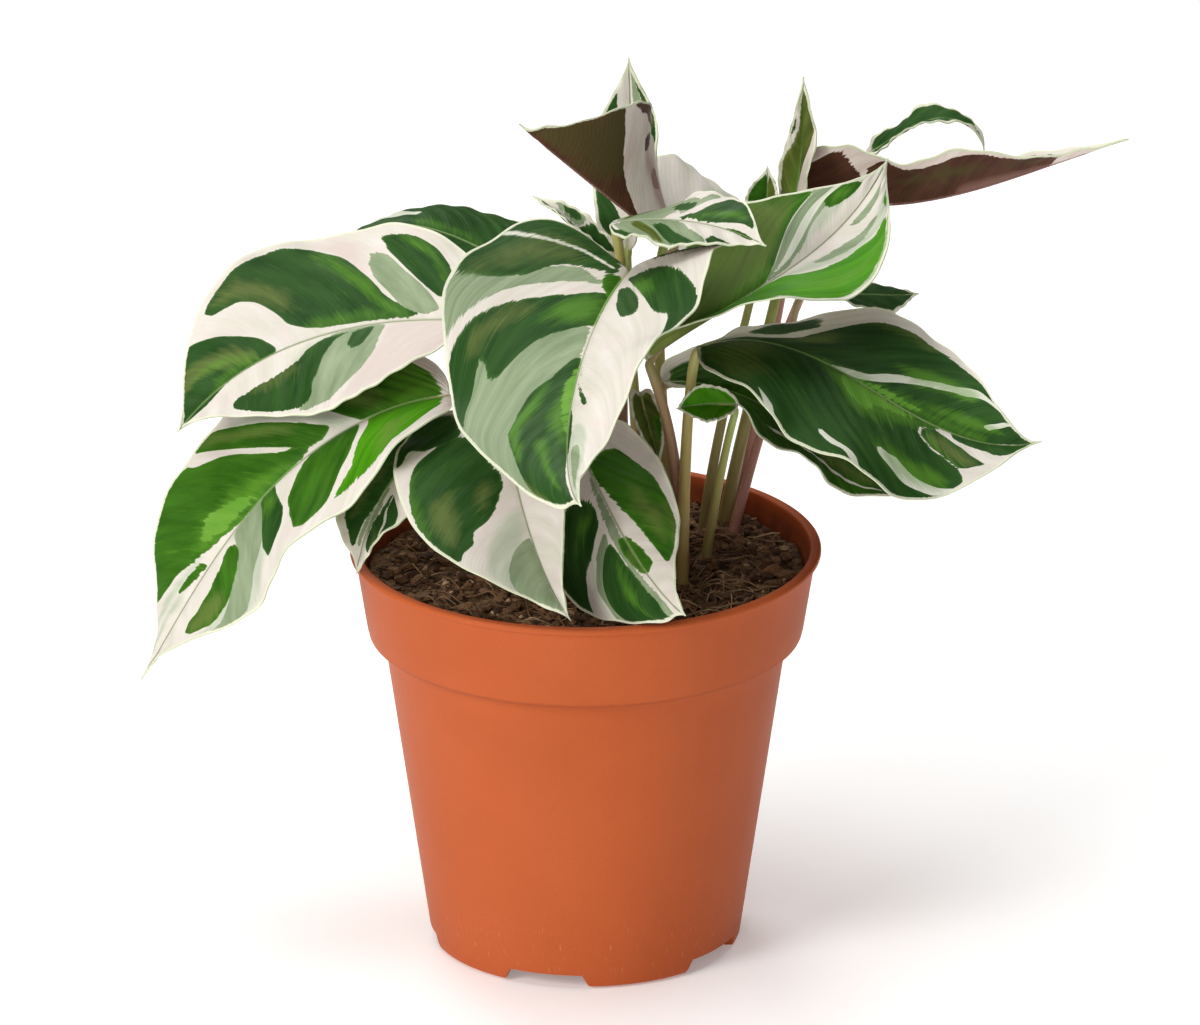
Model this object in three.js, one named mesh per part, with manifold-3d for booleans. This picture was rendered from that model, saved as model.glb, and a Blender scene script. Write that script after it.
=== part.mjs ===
// A calathea in a plastic nursery pot, in millimetres with +Z up.
// The leaves are laid out round the pot's axis; -Y is the front and +X the right-hand side.
// The finished group is then moved so that the ground point under the middle of its
// bounding box is the origin.

import * as THREE from 'three';
import { mergeVertices } from 'three/addons/utils/BufferGeometryUtils.js';
import Module from 'manifold-3d';

// ---------------------------------------------------------------- driving dimensions

const GAP = 0.3;                 // clearance between pieces that touch on the real plant

// A 12 cm nursery pot: tapered body, wide collar, rounded lip, notched foot.
const POT = {
  height: 106,
  wall: 1.5,
  lipRadius: 60,
  lipHeight: 1.6,
  collarTopRadius: 58.7,
  collarLowRadius: 55.3,
  collarHeight: 23,
  bodyTopRadius: 51.5,
  bodyLowRadius: 39.8,
  footRadius: 37.5,
  footInnerRadius: 36,
  footRound: 2.6,                // height of the rounding above the foot
  floorHeight: 4.4,              // underside of the raised floor
  segments: 60,
};

const NOTCH = { count: 5, first: -15, width: 22, topWidth: 19, height: 3.9 };
const DRAIN = { count: 5, radius: 4, ring: 26, sides: 10 };

const SOIL = {
  level: 99,                     // general height of the surface
  heap: 4.5,                     // how much higher it is round the stems
  heapCentre: [22, 12],
  heapSpread: 26,
  bump: 0.8,                     // height of the crumbs' relief
  rings: 7,
  segments: 40,
};

const BLADE = { thickness: 0.6, waves: 2.5, foldEase: 3, spineSteps: 48 };
const STALK = { footZ: 84, sides: 6, steps: 8 };

// Rows along a blade and columns across it.
const LARGE_GRID = [12, 6];
const SMALL_GRID = [8, 4];

// Radius of a leaf stalk at the soil and at the blade.
const STOUT_STALK = [1.9, 1.2];
const THIN_STALK = [1.5, 0.9];

const TERRACOTTA = '#c4663a';
const EARTH = '#2e1d16';
const DARK = '#2e5b33';
const MID = '#4f7f3a';
const BRIGHT = '#4c9420';
const PALE = '#dfe0d2';
const PURPLE = '#5a3a40';
const BROWN = '#6b5236';
const STEM = '#8c7455';

// Each leaf is a midrib with a left and a right half blade.
//   base, length, width   where the blade starts, its length, its half widths [left, right]
//   shape                 outline: where it is widest and how full it is
//   lobe                  how far the blade reaches back past its base
//   heading               compass direction at [base, tip]: 0 is +X, 90 is +Y
//   pitch                 climb at [base, middle, tip]
//   roll                  turn round the midrib at [base, tip]
//   fold                  lift of each half at [base, tip]; curl adds to it at the margin
//   wave, phase           height and shift of the margin's waves, for each half
//   foot                  where its stalk stands in the soil
//   lean, bend, meet      the stalk's slant at the soil, how far each end's direction
//                         carries, and its direction at the blade
//   seat                  how far before the blade's base the stalk ends
// Angles are in degrees; lengths in millimetres.
const LEAVES = [
  {
    name: 'front', colour: PALE, grid: LARGE_GRID, stalk: STOUT_STALK,
    base: [11, -2, 181], length: 107, width: [32, 38], shape: [0.5, 0.5], lobe: 14,
    heading: [244, 282], pitch: [-12, -20, 8], roll: [23, 18],
    fold: [[12, 52], [42, -17]], curl: [-34, 1], wave: [3, -4], phase: [-0.1, 0.1],
    foot: [12, -1], lean: [-0.08, 0.04], bend: [0.58, 0.16], meet: [0.1, -0.2, 1.2], seat: 0.7,
  },
  {
    name: 'left_high', colour: DARK, grid: LARGE_GRID, stalk: STOUT_STALK,
    base: [-29, 3.5, 165.5], length: 85, width: [26, 34], shape: [0.85, 0.5], lobe: 3,
    heading: [154, 220], pitch: [-5, -17, -42], roll: [-25, -37],
    fold: [[15, -1], [10, -10]], curl: [-1, -5], wave: [0, -2.5], phase: [0, 0.2],
    foot: [3, 10], lean: [-0.11, 0.02], bend: [0.3, 0.14], meet: [-0.3, 0.1, 1], seat: 0.8,
  },
  {
    name: 'left_back', colour: DARK, grid: LARGE_GRID, stalk: STOUT_STALK,
    base: [-10, 39, 163], length: 63, width: [24, 23], shape: [0.8, 0.5], lobe: 3,
    heading: [158, 166], pitch: [18, 11, -56], roll: [-18, -8],
    fold: [[10, 10], [0, -9]], curl: [0, -24], wave: [0, -0.5], phase: [0, 0.1],
    foot: [8, 18], lean: [-0.04, 0], bend: [0.2, 0.15], meet: [-0.3, 0.1, 1], seat: 0.7,
  },
  {
    name: 'left_low', colour: MID, grid: LARGE_GRID, stalk: STOUT_STALK,
    base: [-34.5, -5, 148.5], length: 114, width: [27, 29], shape: [0.85, 0.5], lobe: 3,
    heading: [190, 178], pitch: [-2, -49, -61], roll: [-20, -32],
    fold: [[22, -8], [13, 7]], curl: [-5, 0], wave: [3.5, 2.5], phase: [0, 0.5],
    foot: [-4, 9], lean: [-0.3, -0.08], bend: [0.38, 0.34], meet: [-0.3, -0.2, 0.5], seat: 0.6,
  },
  {
    name: 'left_small', colour: DARK, grid: SMALL_GRID, stalk: THIN_STALK,
    base: [-38.5, -7.5, 139.5], length: 42, width: [14, 15], shape: [0.8, 0.5], lobe: 3,
    heading: [203, 228], pitch: [-38, -53, -82], roll: [-4, 4],
    fold: [[6, 13], [11, 12]], curl: [-1, 2], wave: [-1.5, 0.5], phase: [-0.15, 0.3],
    foot: [-8, 3], lean: [-0.09, -0.01], bend: [0.2, 0.3], meet: [-0.4, -0.2, 0.9], seat: 0.8,
  },
  {
    name: 'front_left', colour: PALE, grid: LARGE_GRID, stalk: STOUT_STALK,
    base: [-20.5, -5.5, 145.5], length: 70, width: [17, 30], shape: [0.65, 0.5], lobe: 3,
    heading: [272, 302], pitch: [-14, -37, -26], roll: [15, 22],
    fold: [[26, 37], [12, 12]], curl: [19, -4], wave: [0, 1.5], phase: [0, 0.5],
    foot: [-1, 2], lean: [-0.06, -0.04], bend: [0.34, 0.27], meet: [0, -0.1, 1], seat: 0.8,
  },
  {
    name: 'front_right', colour: MID, grid: LARGE_GRID, stalk: STOUT_STALK,
    base: [-3, -5.5, 138], length: 75, width: [19, 22], shape: [0.85, 0.5], lobe: 4,
    heading: [291, 296], pitch: [-25, -22, -1], roll: [20, 43],
    fold: [[21, 24], [0, -11]], curl: [4, -34], wave: [2, 1.5], phase: [0.1, 0.5],
    foot: [4, -4], lean: [-0.03, -0.04], bend: [0.28, 0.24], meet: [0, -0.1, 1], seat: 1.5,
  },
  {
    name: 'right_large', colour: DARK, grid: LARGE_GRID, stalk: STOUT_STALK,
    base: [28.5, -5.5, 162], length: 94, width: [31, 34], shape: [0.95, 0.5], lobe: 6,
    heading: [-1, -3], pitch: [22, -33, 16], roll: [3, 34],
    fold: [[-27, 34], [-2, 9]], curl: [-11, -10], wave: [2.5, -3], phase: [0.05, 0.4],
    foot: [24, -16], lean: [0.02, 0.03], bend: [0.43, 0.13], meet: [0.3, 0, 1], seat: 1,
  },
  {
    name: 'right_back', colour: DARK, grid: SMALL_GRID, stalk: THIN_STALK,
    base: [54.5, 35, 161], length: 32, width: [13, 15], shape: [0.85, 0.5], lobe: 3,
    heading: [10, 20], pitch: [3, -7, -4], roll: [-2, 18],
    fold: [[-3, -4], [20, 1]], curl: [-22, 1], wave: [0.5, 0], phase: [0.05, 0.3],
    foot: [34, 11], lean: [0.07, 0.03], bend: [0.26, 0.26], meet: [0.2, 0, 1], seat: 0.9,
  },
  {
    name: 'right_bright', colour: BRIGHT, grid: LARGE_GRID, stalk: STOUT_STALK,
    base: [15.5, -6, 158.5], length: 83, width: [25, 28], shape: [0.8, 0.5], lobe: 1,
    heading: [13, 44], pitch: [36, 24, 56], roll: [18, 41],
    fold: [[9, 0], [65, 10]], curl: [-10, -4], wave: [1.5, 3], phase: [0.05, 0.35],
    foot: [25, -8], lean: [0, 0], bend: [0.2, 0.34], meet: [-0.6, 0.2, 1.4], seat: 0.6,
  },
  {
    name: 'top_small', colour: MID, grid: SMALL_GRID, stalk: STOUT_STALK,
    base: [7, -4.5, 195], length: 43, width: [15, 12], shape: [0.8, 0.5], lobe: 2,
    heading: [-12, -37], pitch: [13, 0, -15], roll: [2, 28],
    fold: [[-14, 22], [2, 14]], curl: [-18, -12], wave: [1, -1], phase: [0.2, 0.1],
    foot: [5, 6], lean: [0.04, 0.12], bend: [0.34, 0.36], meet: [-0.2, -0.8, 1.1], seat: 2.4,
  },
  {
    name: 'top_furled', colour: PURPLE, grid: LARGE_GRID, stalk: STOUT_STALK,
    base: [23.5, 11.5, 182.5], length: 58, width: [27, 9], shape: [0.7, 0.5], lobe: 0,
    heading: [210, 193], pitch: [37, 43, 41], roll: [20, -6],
    fold: [[118, 57], [35, 35]], curl: [34, 0], wave: [1, 0], phase: [-0.1, 0.3],
    foot: [15, 13], lean: [-0.18, -0.28], bend: [0.36, 0.44], meet: [0.7, 0.4, 0.6], seat: 0.7,
  },
  {
    name: 'top_upright', colour: MID, grid: SMALL_GRID, stalk: STOUT_STALK,
    base: [10.5, 30.5, 175], length: 49, width: [10, 10], shape: [0.85, 0.45], lobe: 3,
    heading: [79, 100], pitch: [62, 69, 76], roll: [-19, -9],
    fold: [[20, 10], [37, 19]], curl: [0, 5], wave: [0, -2], phase: [0, 0.45],
    foot: [15, 20], lean: [0.01, 0.02], bend: [0.34, 0.3], meet: [0, 0.2, 1], seat: 0.4,
  },
  {
    name: 'back_pale', colour: PALE, grid: SMALL_GRID, stalk: STOUT_STALK,
    base: [20.5, 38, 175], length: 31, width: [23, 12], shape: [0.8, 0.5], lobe: 3,
    heading: [37, 19], pitch: [29, -3, -22], roll: [34, 13],
    fold: [[14, -4], [10, 10]], curl: [-9, 0], wave: [1, 0], phase: [0.05, 0.3],
    foot: [22, 24], lean: [0.01, 0.02], bend: [0.24, 0.16], meet: [0.3, 0.2, 0.9], seat: 0.8,
  },
  {
    name: 'back_curled', colour: BROWN, grid: SMALL_GRID, stalk: THIN_STALK,
    base: [9, 18, 174.5], length: 30, width: [6, 5], shape: [0.8, 0.5], lobe: 3,
    heading: [171, 137], pitch: [27, 39, 3], roll: [4, -13],
    fold: [[51, 38], [38, 41]], curl: [-9, -1], wave: [0, 0], phase: [0, 0.35],
    foot: [9, 12], lean: [-0.04, 0.02], bend: [0.4, 0.22], meet: [0, 0, 1], seat: 0.6,
  },
  {
    name: 'upright_narrow', colour: BROWN, grid: SMALL_GRID, stalk: STOUT_STALK,
    base: [51, 31, 175.5], length: 44, width: [5, 8], shape: [0.8, 0.5], lobe: 3,
    heading: [62, 91], pitch: [60, 66, 84], roll: [-18, -3],
    fold: [[31, 35], [43, 33]], curl: [5, 13], wave: [1, 1.5], phase: [0, 0.1],
    foot: [33, 24], lean: [0.07, -0.01], bend: [0.31, 0.13], meet: [0.1, 0.2, 1], seat: 0.5,
  },
  {
    name: 'new_shoot', colour: BROWN, grid: SMALL_GRID, stalk: THIN_STALK,
    base: [45.5, 32, 179.5], length: 17, width: [6, 4], shape: [0.8, 0.5], lobe: 3,
    heading: [81, 87], pitch: [50, 58, 68], roll: [-4, -1],
    fold: [[30, 30], [33, 30]], curl: [-1, 2], wave: [0, 0], phase: [0, 0.3],
    foot: [29, 20], lean: [0.01, 0.03], bend: [0.41, 0.1], meet: [0, 0.2, 1], seat: 0.6,
  },
  {
    name: 'far_right', colour: PURPLE, grid: LARGE_GRID, stalk: STOUT_STALK,
    base: [53, 45.5, 186], length: 90, width: [14, 16], shape: [0.55, 0.4], lobe: 4,
    heading: [-17, -1], pitch: [-17, 18, 16], roll: [-8, 20],
    fold: [[0, 5], [82, 60]], curl: [0, -7], wave: [0, -2], phase: [0, 0.3],
    foot: [36, 30], lean: [0.08, 0.03], bend: [0.3, 0.25], meet: [0, 0, 1], seat: 1,
  },
  {
    name: 'far_arch', colour: DARK, grid: SMALL_GRID, stalk: THIN_STALK,
    base: [72.5, 55.5, 192], length: 37, width: [5, 5], shape: [0.8, 0.5], lobe: 3,
    heading: [1, -11], pitch: [33, 15, -91], roll: [-2, -2],
    fold: [[25, 29], [6, 11]], curl: [-5, -2], wave: [1, 0.5], phase: [0, 0.3],
    foot: [32, 32], lean: [0.26, 0.32], bend: [0.46, 0.42], meet: [0.7, -0.3, 1.6], seat: 0.5,
  },
  {
    name: 'right_under', colour: MID, grid: LARGE_GRID, stalk: STOUT_STALK,
    base: [20, 6, 148], length: 75, width: [18, 19], shape: [0.85, 0.5], lobe: 3,
    heading: [13, -15], pitch: [1, -34, -16], roll: [9, 30],
    fold: [[10, 10], [21, 4]], curl: [0, 4], wave: [0, -2.5], phase: [0, 0.3],
    foot: [17, -3], lean: [-0.02, 0.04], bend: [0.41, 0.1], meet: [0.4, 0.1, 0.9], seat: 0.6,
  },
  {
    name: 'inner_curl', colour: BRIGHT, grid: SMALL_GRID, stalk: THIN_STALK,
    base: [38.5, -12, 148.5], length: 16, width: [6, 5], shape: [1.1, 0.5], lobe: 1,
    heading: [175, 205], pitch: [5, 0, -5], roll: [-40, -50],
    fold: [[0, 15], [15, 20]], curl: [20, 20], wave: [0, 0], phase: [0, 0],
    foot: [29, 2], lean: [0.03, -0.05], bend: [0.25, 0.15], meet: [0.3, 0, 1], seat: 1.5,
  },
  {
    name: 'inner_small', colour: MID, grid: SMALL_GRID, stalk: THIN_STALK,
    base: [14, 1, 147], length: 20, width: [4, 5], shape: [0.8, 0.5], lobe: 3,
    heading: [283, 311], pitch: [-41, -54, -61], roll: [1, 2],
    fold: [[30, 30], [29, 27]], curl: [0, -3], wave: [0.5, 0], phase: [0.1, 0.3],
    foot: [13, -7], lean: [0.02, 0.2], bend: [0.32, 0.32], meet: [0, -0.2, 1], seat: 1.2,
  },
];

// ---------------------------------------------------------------- leaf form

const RADIANS = Math.PI / 180;
const LEFT = 0;
const RIGHT = 1;

const mix = ([start, end], v) => start + (end - start) * v;

// The quadratic that passes through three values at 0, 1/2 and 1.
function throughThree([start, middle, end], v) {
  return start * (1 - v) * (1 - 2 * v) + middle * 4 * v * (1 - v) + end * v * (2 * v - 1);
}

// Half width of the blade as a fraction of its widest, 0 at the base and the tip.
function outline([widest, fullness], v) {
  return Math.max(Math.sin(Math.PI * v ** widest), 0) ** (fullness + v * v);
}

// The direction of the midrib at v, with the blade's left side and its upper side.
function axesAt(leaf, v) {
  const heading = mix(leaf.heading, v) * RADIANS;
  const pitch = throughThree(leaf.pitch, v) * RADIANS;
  const roll = mix(leaf.roll, v) * RADIANS;
  const along = new THREE.Vector3(
    Math.cos(pitch) * Math.cos(heading),
    Math.cos(pitch) * Math.sin(heading),
    Math.sin(pitch),
  );
  const level = new THREE.Vector3(-Math.sin(heading), Math.cos(heading), 0);
  const above = along.clone().cross(level);
  const side = level.clone().multiplyScalar(Math.cos(roll)).addScaledVector(above, Math.sin(roll));
  const up = above.clone().multiplyScalar(Math.cos(roll)).addScaledVector(level, -Math.sin(roll));
  return { along, side, up };
}

// Stations along the midrib, closer together at its two ends.
function midrib(leaf) {
  const place = new THREE.Vector3(...leaf.base);
  const stations = [];
  let before = 0;
  for (let i = 0; i <= BLADE.spineSteps; i += 1) {
    const v = (1 - Math.cos((Math.PI * i) / BLADE.spineSteps)) / 2;
    place.addScaledVector(axesAt(leaf, (v + before) / 2).along, leaf.length * (v - before));
    stations.push({ v, place: place.clone(), ...axesAt(leaf, v) });
    before = v;
  }
  return stations;
}

// A point of the blade's middle surface; u runs from 1 at the left margin to -1 at the right.
function bladePoint(leaf, station, u) {
  const half = u < 0 ? RIGHT : LEFT;
  const out = Math.abs(u);
  const { v } = station;
  const full = outline(leaf.shape, v);
  const width = leaf.width[half] * full;
  const ease = Math.min(1, width / BLADE.foldEase);
  const lift = (mix(leaf.fold[half], v) + (leaf.curl[half] * out) / 2) * ease * RADIANS;
  const beat = Math.sin(2 * Math.PI * (BLADE.waves * v + leaf.phase[half]));
  const wave = leaf.wave[half] * out * out * beat * Math.sqrt(Math.max(Math.sin(Math.PI * v), 0));
  const back = leaf.lobe * out * full * (1 - v) ** 2;
  return station.place.clone()
    .addScaledVector(station.side, Math.sign(u) * width * out * Math.cos(lift))
    .addScaledVector(station.up, width * out * Math.sin(lift) + wave)
    .addScaledVector(station.along, -back);
}

// ---------------------------------------------------------------- solids from points

function solidGeometry(points, triangles) {
  const geometry = new THREE.BufferGeometry();
  const flat = points.flatMap((point) => [point.x, point.y, point.z]);
  geometry.setAttribute('position', new THREE.Float32BufferAttribute(flat, 3));
  geometry.setIndex(triangles.flat());
  return geometry;
}

// Triangles of a blade's one face: a fan at the base, rows of squares, a fan at the tip.
function sheetTriangles(rows, columns) {
  const at = (row, column) => 1 + (row - 1) * (columns + 1) + column;
  const tip = 1 + (rows - 1) * (columns + 1);
  const triangles = [];
  for (let column = 0; column < columns; column += 1) {
    triangles.push([0, at(1, column), at(1, column + 1)]);
    for (let row = 1; row < rows - 1; row += 1) {
      const corners = [at(row, column), at(row + 1, column), at(row + 1, column + 1), at(row, column + 1)];
      triangles.push([corners[0], corners[1], corners[3]], [corners[1], corners[2], corners[3]]);
    }
    triangles.push([at(rows - 1, column), tip, at(rows - 1, column + 1)]);
  }
  return triangles;
}

// The blade's margin as point numbers, from the base up one side and back down the other.
function marginLoop(rows, columns) {
  const loop = [0];
  for (let row = 1; row < rows; row += 1) loop.push(1 + (row - 1) * (columns + 1));
  loop.push(1 + (rows - 1) * (columns + 1));
  for (let row = rows - 1; row > 0; row -= 1) loop.push(row * (columns + 1));
  return loop;
}

// Upper-side direction at every point: the mean of the triangles that meet there.
function sheetNormals(points, triangles) {
  const normals = points.map(() => new THREE.Vector3());
  for (const corners of triangles) {
    const face = new THREE.Triangle(...corners.map((corner) => points[corner]));
    const direction = face.getNormal(new THREE.Vector3());
    for (const corner of corners) normals[corner].add(direction);
  }
  return normals.map((normal) => normal.normalize());
}

function bladeGeometry(leaf) {
  const [rows, columns] = leaf.grid;
  const stations = midrib(leaf);
  const stride = BLADE.spineSteps / rows;
  const middle = [stations[0].place];
  for (let row = 1; row < rows; row += 1) {
    for (let column = 0; column <= columns; column += 1) {
      middle.push(bladePoint(leaf, stations[row * stride], 1 - (2 * column) / columns));
    }
  }
  middle.push(stations[BLADE.spineSteps].place);

  const under = sheetTriangles(rows, columns);
  const upper = under.map(([a, b, c]) => [a, c, b]);
  const normals = sheetNormals(middle, upper);
  const shifted = (distance) => middle.map((point, i) => point.clone().addScaledVector(normals[i], distance));
  const count = middle.length;
  const rim = marginLoop(rows, columns).flatMap((from, i, loop) => {
    const to = loop[(i + 1) % loop.length];
    return [[from, to, to + count], [from, to + count, from + count]];
  });
  return solidGeometry(
    [...shifted(BLADE.thickness / 2), ...shifted(-BLADE.thickness / 2)],
    [...upper, ...under.map((corners) => corners.map((corner) => corner + count)), ...rim],
  );
}

// ---------------------------------------------------------------- leaf stalks

function stalkCurve(leaf) {
  const arrive = new THREE.Vector3(...leaf.meet).normalize();
  const top = new THREE.Vector3(...leaf.base).addScaledVector(arrive, -leaf.seat);
  const foot = new THREE.Vector3(...leaf.foot, STALK.footZ);
  const height = top.z - foot.z;
  const leave = new THREE.Vector3(...leaf.lean, 1);
  return new THREE.CubicBezierCurve3(
    foot,
    foot.clone().addScaledVector(leave, height * leaf.bend[0]),
    top.clone().addScaledVector(arrive, -height * leaf.bend[1]),
    top,
  );
}

// A tapered tube along the stalk's curve; extra makes it thicker and longer at its foot.
function stalkGeometry(leaf, extra = 0) {
  const curve = stalkCurve(leaf);
  const { steps, sides } = STALK;
  const frames = curve.computeFrenetFrames(steps);
  const points = [];
  for (let step = 0; step <= steps; step += 1) {
    const centre = curve.getPointAt(step / steps);
    if (step === 0) centre.addScaledVector(frames.tangents[0], -extra);
    const radius = mix(leaf.stalk, step / steps) + extra;
    for (let side = 0; side < sides; side += 1) {
      const angle = (2 * Math.PI * side) / sides;
      points.push(centre.clone()
        .addScaledVector(frames.normals[step], radius * Math.cos(angle))
        .addScaledVector(frames.binormals[step], radius * Math.sin(angle)));
    }
  }
  const triangles = [];
  for (let side = 0; side < sides; side += 1) {
    const next = (side + 1) % sides;
    for (let step = 0; step < steps; step += 1) {
      const [low, high] = [step * sides, (step + 1) * sides];
      triangles.push([low + side, low + next, high + next], [low + side, high + next, high + side]);
    }
    if (side > 0 && side < sides - 1) {
      const top = steps * sides;
      triangles.push([0, next, side], [top, top + side, top + next]);
    }
  }
  return solidGeometry(points, triangles);
}

// ---------------------------------------------------------------- cutting

const wasm = await Module();
wasm.setup();

function toManifold(geometry) {
  const bare = geometry.clone();
  bare.deleteAttribute('normal');
  bare.deleteAttribute('uv');
  const merged = mergeVertices(bare, 1e-4);
  return new wasm.Manifold(new wasm.Mesh({
    numProp: 3,
    vertProperties: new Float32Array(merged.attributes.position.array),
    triVerts: new Uint32Array(merged.index.array),
  }));
}

function fromManifold(solid) {
  const mesh = solid.getMesh();
  const geometry = new THREE.BufferGeometry();
  geometry.setAttribute('position', new THREE.BufferAttribute(mesh.vertProperties, 3));
  geometry.setIndex(new THREE.BufferAttribute(mesh.triVerts, 1));
  return geometry;
}

function cutAway(geometry, cutters) {
  let solid = toManifold(geometry);
  for (const cutter of cutters) solid = solid.subtract(toManifold(cutter));
  return fromManifold(solid);
}

// ---------------------------------------------------------------- pot

// Turns a closed outline of [radius, height] points round the pot's axis.
function turned(profile, segments) {
  const points = profile.map(([radius, height]) => new THREE.Vector2(radius, height));
  return new THREE.LatheGeometry(points, segments).rotateX(Math.PI / 2);
}

function potProfile() {
  const p = POT;
  const shoulder = p.height - p.collarHeight;
  const lipLow = p.height - p.lipHeight;
  return [
    [0, p.floorHeight],
    [p.footInnerRadius, p.floorHeight],
    [p.footInnerRadius, 0],
    [p.footRadius, 0],
    [p.bodyLowRadius - 0.5, 0.3 * p.footRound],
    [p.bodyLowRadius, p.footRound],
    [p.bodyTopRadius, shoulder],
    [p.collarLowRadius - 0.8, shoulder],
    [p.collarLowRadius, shoulder + 0.8],
    [p.collarTopRadius, lipLow - 0.3],
    [p.lipRadius, lipLow + 0.2],
    [p.lipRadius, p.height - 0.5],
    [p.lipRadius - 0.5, p.height],
    [p.collarTopRadius - p.wall + 0.4, p.height],
    [p.collarTopRadius - p.wall, p.height - 0.5],
    [p.collarLowRadius - p.wall, shoulder + p.wall],
    [p.bodyTopRadius - p.wall, shoulder + p.wall],
    [p.bodyLowRadius - p.wall, p.floorHeight + p.wall],
    [0, p.floorHeight + p.wall],
  ];
}

// One foot notch as a bar that runs outwards through the foot ring.
function notchCutter(angle) {
  const outer = NOTCH.width / 2;
  const inner = NOTCH.topWidth / 2;
  const shape = new THREE.Shape();
  shape.moveTo(-outer - 0.4, -1);
  shape.lineTo(outer + 0.4, -1);
  shape.lineTo(inner, NOTCH.height);
  shape.lineTo(-inner, NOTCH.height);
  const length = 20;
  return new THREE.ExtrudeGeometry(shape, { depth: length, bevelEnabled: false })
    .rotateX(Math.PI / 2)
    .translate(0, -POT.footRadius + length / 2, 0)
    .rotateZ(angle * RADIANS);
}

function drainCutter(angle) {
  return new THREE.CylinderGeometry(DRAIN.radius, DRAIN.radius, 10, DRAIN.sides)
    .rotateX(Math.PI / 2)
    .translate(0, -DRAIN.ring, POT.floorHeight)
    .rotateZ(angle * RADIANS);
}

function potGeometry() {
  const notches = Array.from({ length: NOTCH.count }, (_, i) =>
    notchCutter(NOTCH.first + (360 / NOTCH.count) * i));
  const drains = Array.from({ length: DRAIN.count }, (_, i) =>
    drainCutter(NOTCH.first + (360 / DRAIN.count) * i));
  return cutAway(turned(potProfile(), POT.segments), [...notches, ...drains]);
}

// ---------------------------------------------------------------- soil

function soilHeight(x, y) {
  const away = Math.hypot(x - SOIL.heapCentre[0], y - SOIL.heapCentre[1]) / SOIL.heapSpread;
  const crumbs = Math.sin(0.31 * x + 1.3) * Math.cos(0.27 * y) + Math.sin(0.19 * (x - y));
  return SOIL.level + SOIL.heap * Math.exp(-away * away) + (SOIL.bump * crumbs) / 2;
}

// Inner radius of the pot at a height, less the clearance.
function soilRadius(z) {
  const shoulder = POT.height - POT.collarHeight + POT.wall;
  const low = POT.floorHeight + POT.wall;
  const body = mix([POT.bodyLowRadius, POT.bodyTopRadius], (z - low) / (shoulder - low));
  const collar = mix([POT.collarLowRadius, POT.collarTopRadius], (z - shoulder) / (POT.height - shoulder));
  return (z < shoulder ? body : collar) - POT.wall - 2 * GAP;
}

function soilGeometry() {
  const shoulder = POT.height - POT.collarHeight + POT.wall + GAP;
  const low = POT.floorHeight + POT.wall + GAP;
  const { rings, segments } = SOIL;
  const rimRadius = soilRadius(SOIL.level);
  const levels = [];
  for (let ring = 1; ring <= rings; ring += 1) {
    levels.push({ radius: (rimRadius * ring) / rings, height: soilHeight });
  }
  levels.push({ radius: soilRadius(shoulder), height: () => shoulder });
  levels.push({ radius: soilRadius(shoulder - 2 * GAP), height: () => shoulder });
  levels.push({ radius: soilRadius(low), height: () => low });

  const points = [new THREE.Vector3(0, 0, soilHeight(0, 0))];
  for (const { radius, height } of levels) {
    for (let i = 0; i < segments; i += 1) {
      const angle = (2 * Math.PI * i) / segments;
      const [x, y] = [radius * Math.cos(angle), radius * Math.sin(angle)];
      points.push(new THREE.Vector3(x, y, height(x, y)));
    }
  }
  points.push(new THREE.Vector3(0, 0, low));

  const bottom = points.length - 1;
  const at = (level, i) => 1 + level * segments + (i % segments);
  const triangles = [];
  for (let i = 0; i < segments; i += 1) {
    triangles.push([0, at(0, i), at(0, i + 1)]);
    for (let level = 0; level < levels.length - 1; level += 1) {
      triangles.push([at(level, i), at(level + 1, i), at(level + 1, i + 1)]);
      triangles.push([at(level, i), at(level + 1, i + 1), at(level, i + 1)]);
    }
    triangles.push([at(levels.length - 1, i), bottom, at(levels.length - 1, i + 1)]);
  }
  const holes = LEAVES.map((leaf) => stalkGeometry(leaf, GAP + 0.1));
  return cutAway(solidGeometry(points, triangles), holes);
}

// ---------------------------------------------------------------- assembly

function piece(name, geometry, color, roughness) {
  const mesh = new THREE.Mesh(geometry, new THREE.MeshStandardMaterial({ color, roughness, metalness: 0 }));
  mesh.name = name;
  return mesh;
}

const plant = new THREE.Group();
plant.add(piece('pot', potGeometry(), TERRACOTTA, 0.45));
plant.add(piece('soil', soilGeometry(), EARTH, 0.95));
for (const leaf of LEAVES) {
  plant.add(piece(`leaf_${leaf.name}`, bladeGeometry(leaf), leaf.colour, 0.5));
  plant.add(piece(`petiole_${leaf.name}`, stalkGeometry(leaf), STEM, 0.6));
}

const middleOfPlant = new THREE.Box3().setFromObject(plant).getCenter(new THREE.Vector3());
plant.position.set(-middleOfPlant.x, -middleOfPlant.y, 0);

export default plant;
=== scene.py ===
"""A potted calathea: variegated leaves on slender stalks, soil, and a terracotta-coloured
plastic nursery pot.  The leaves are laid out round the pot's axis in millimetres, with -Y
to the front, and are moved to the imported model's frame, in metres, as they are made."""

import math
import random
from types import SimpleNamespace as Facts

import bmesh
import bpy
import numpy as np
from mathutils import Matrix, Vector, noise


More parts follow.
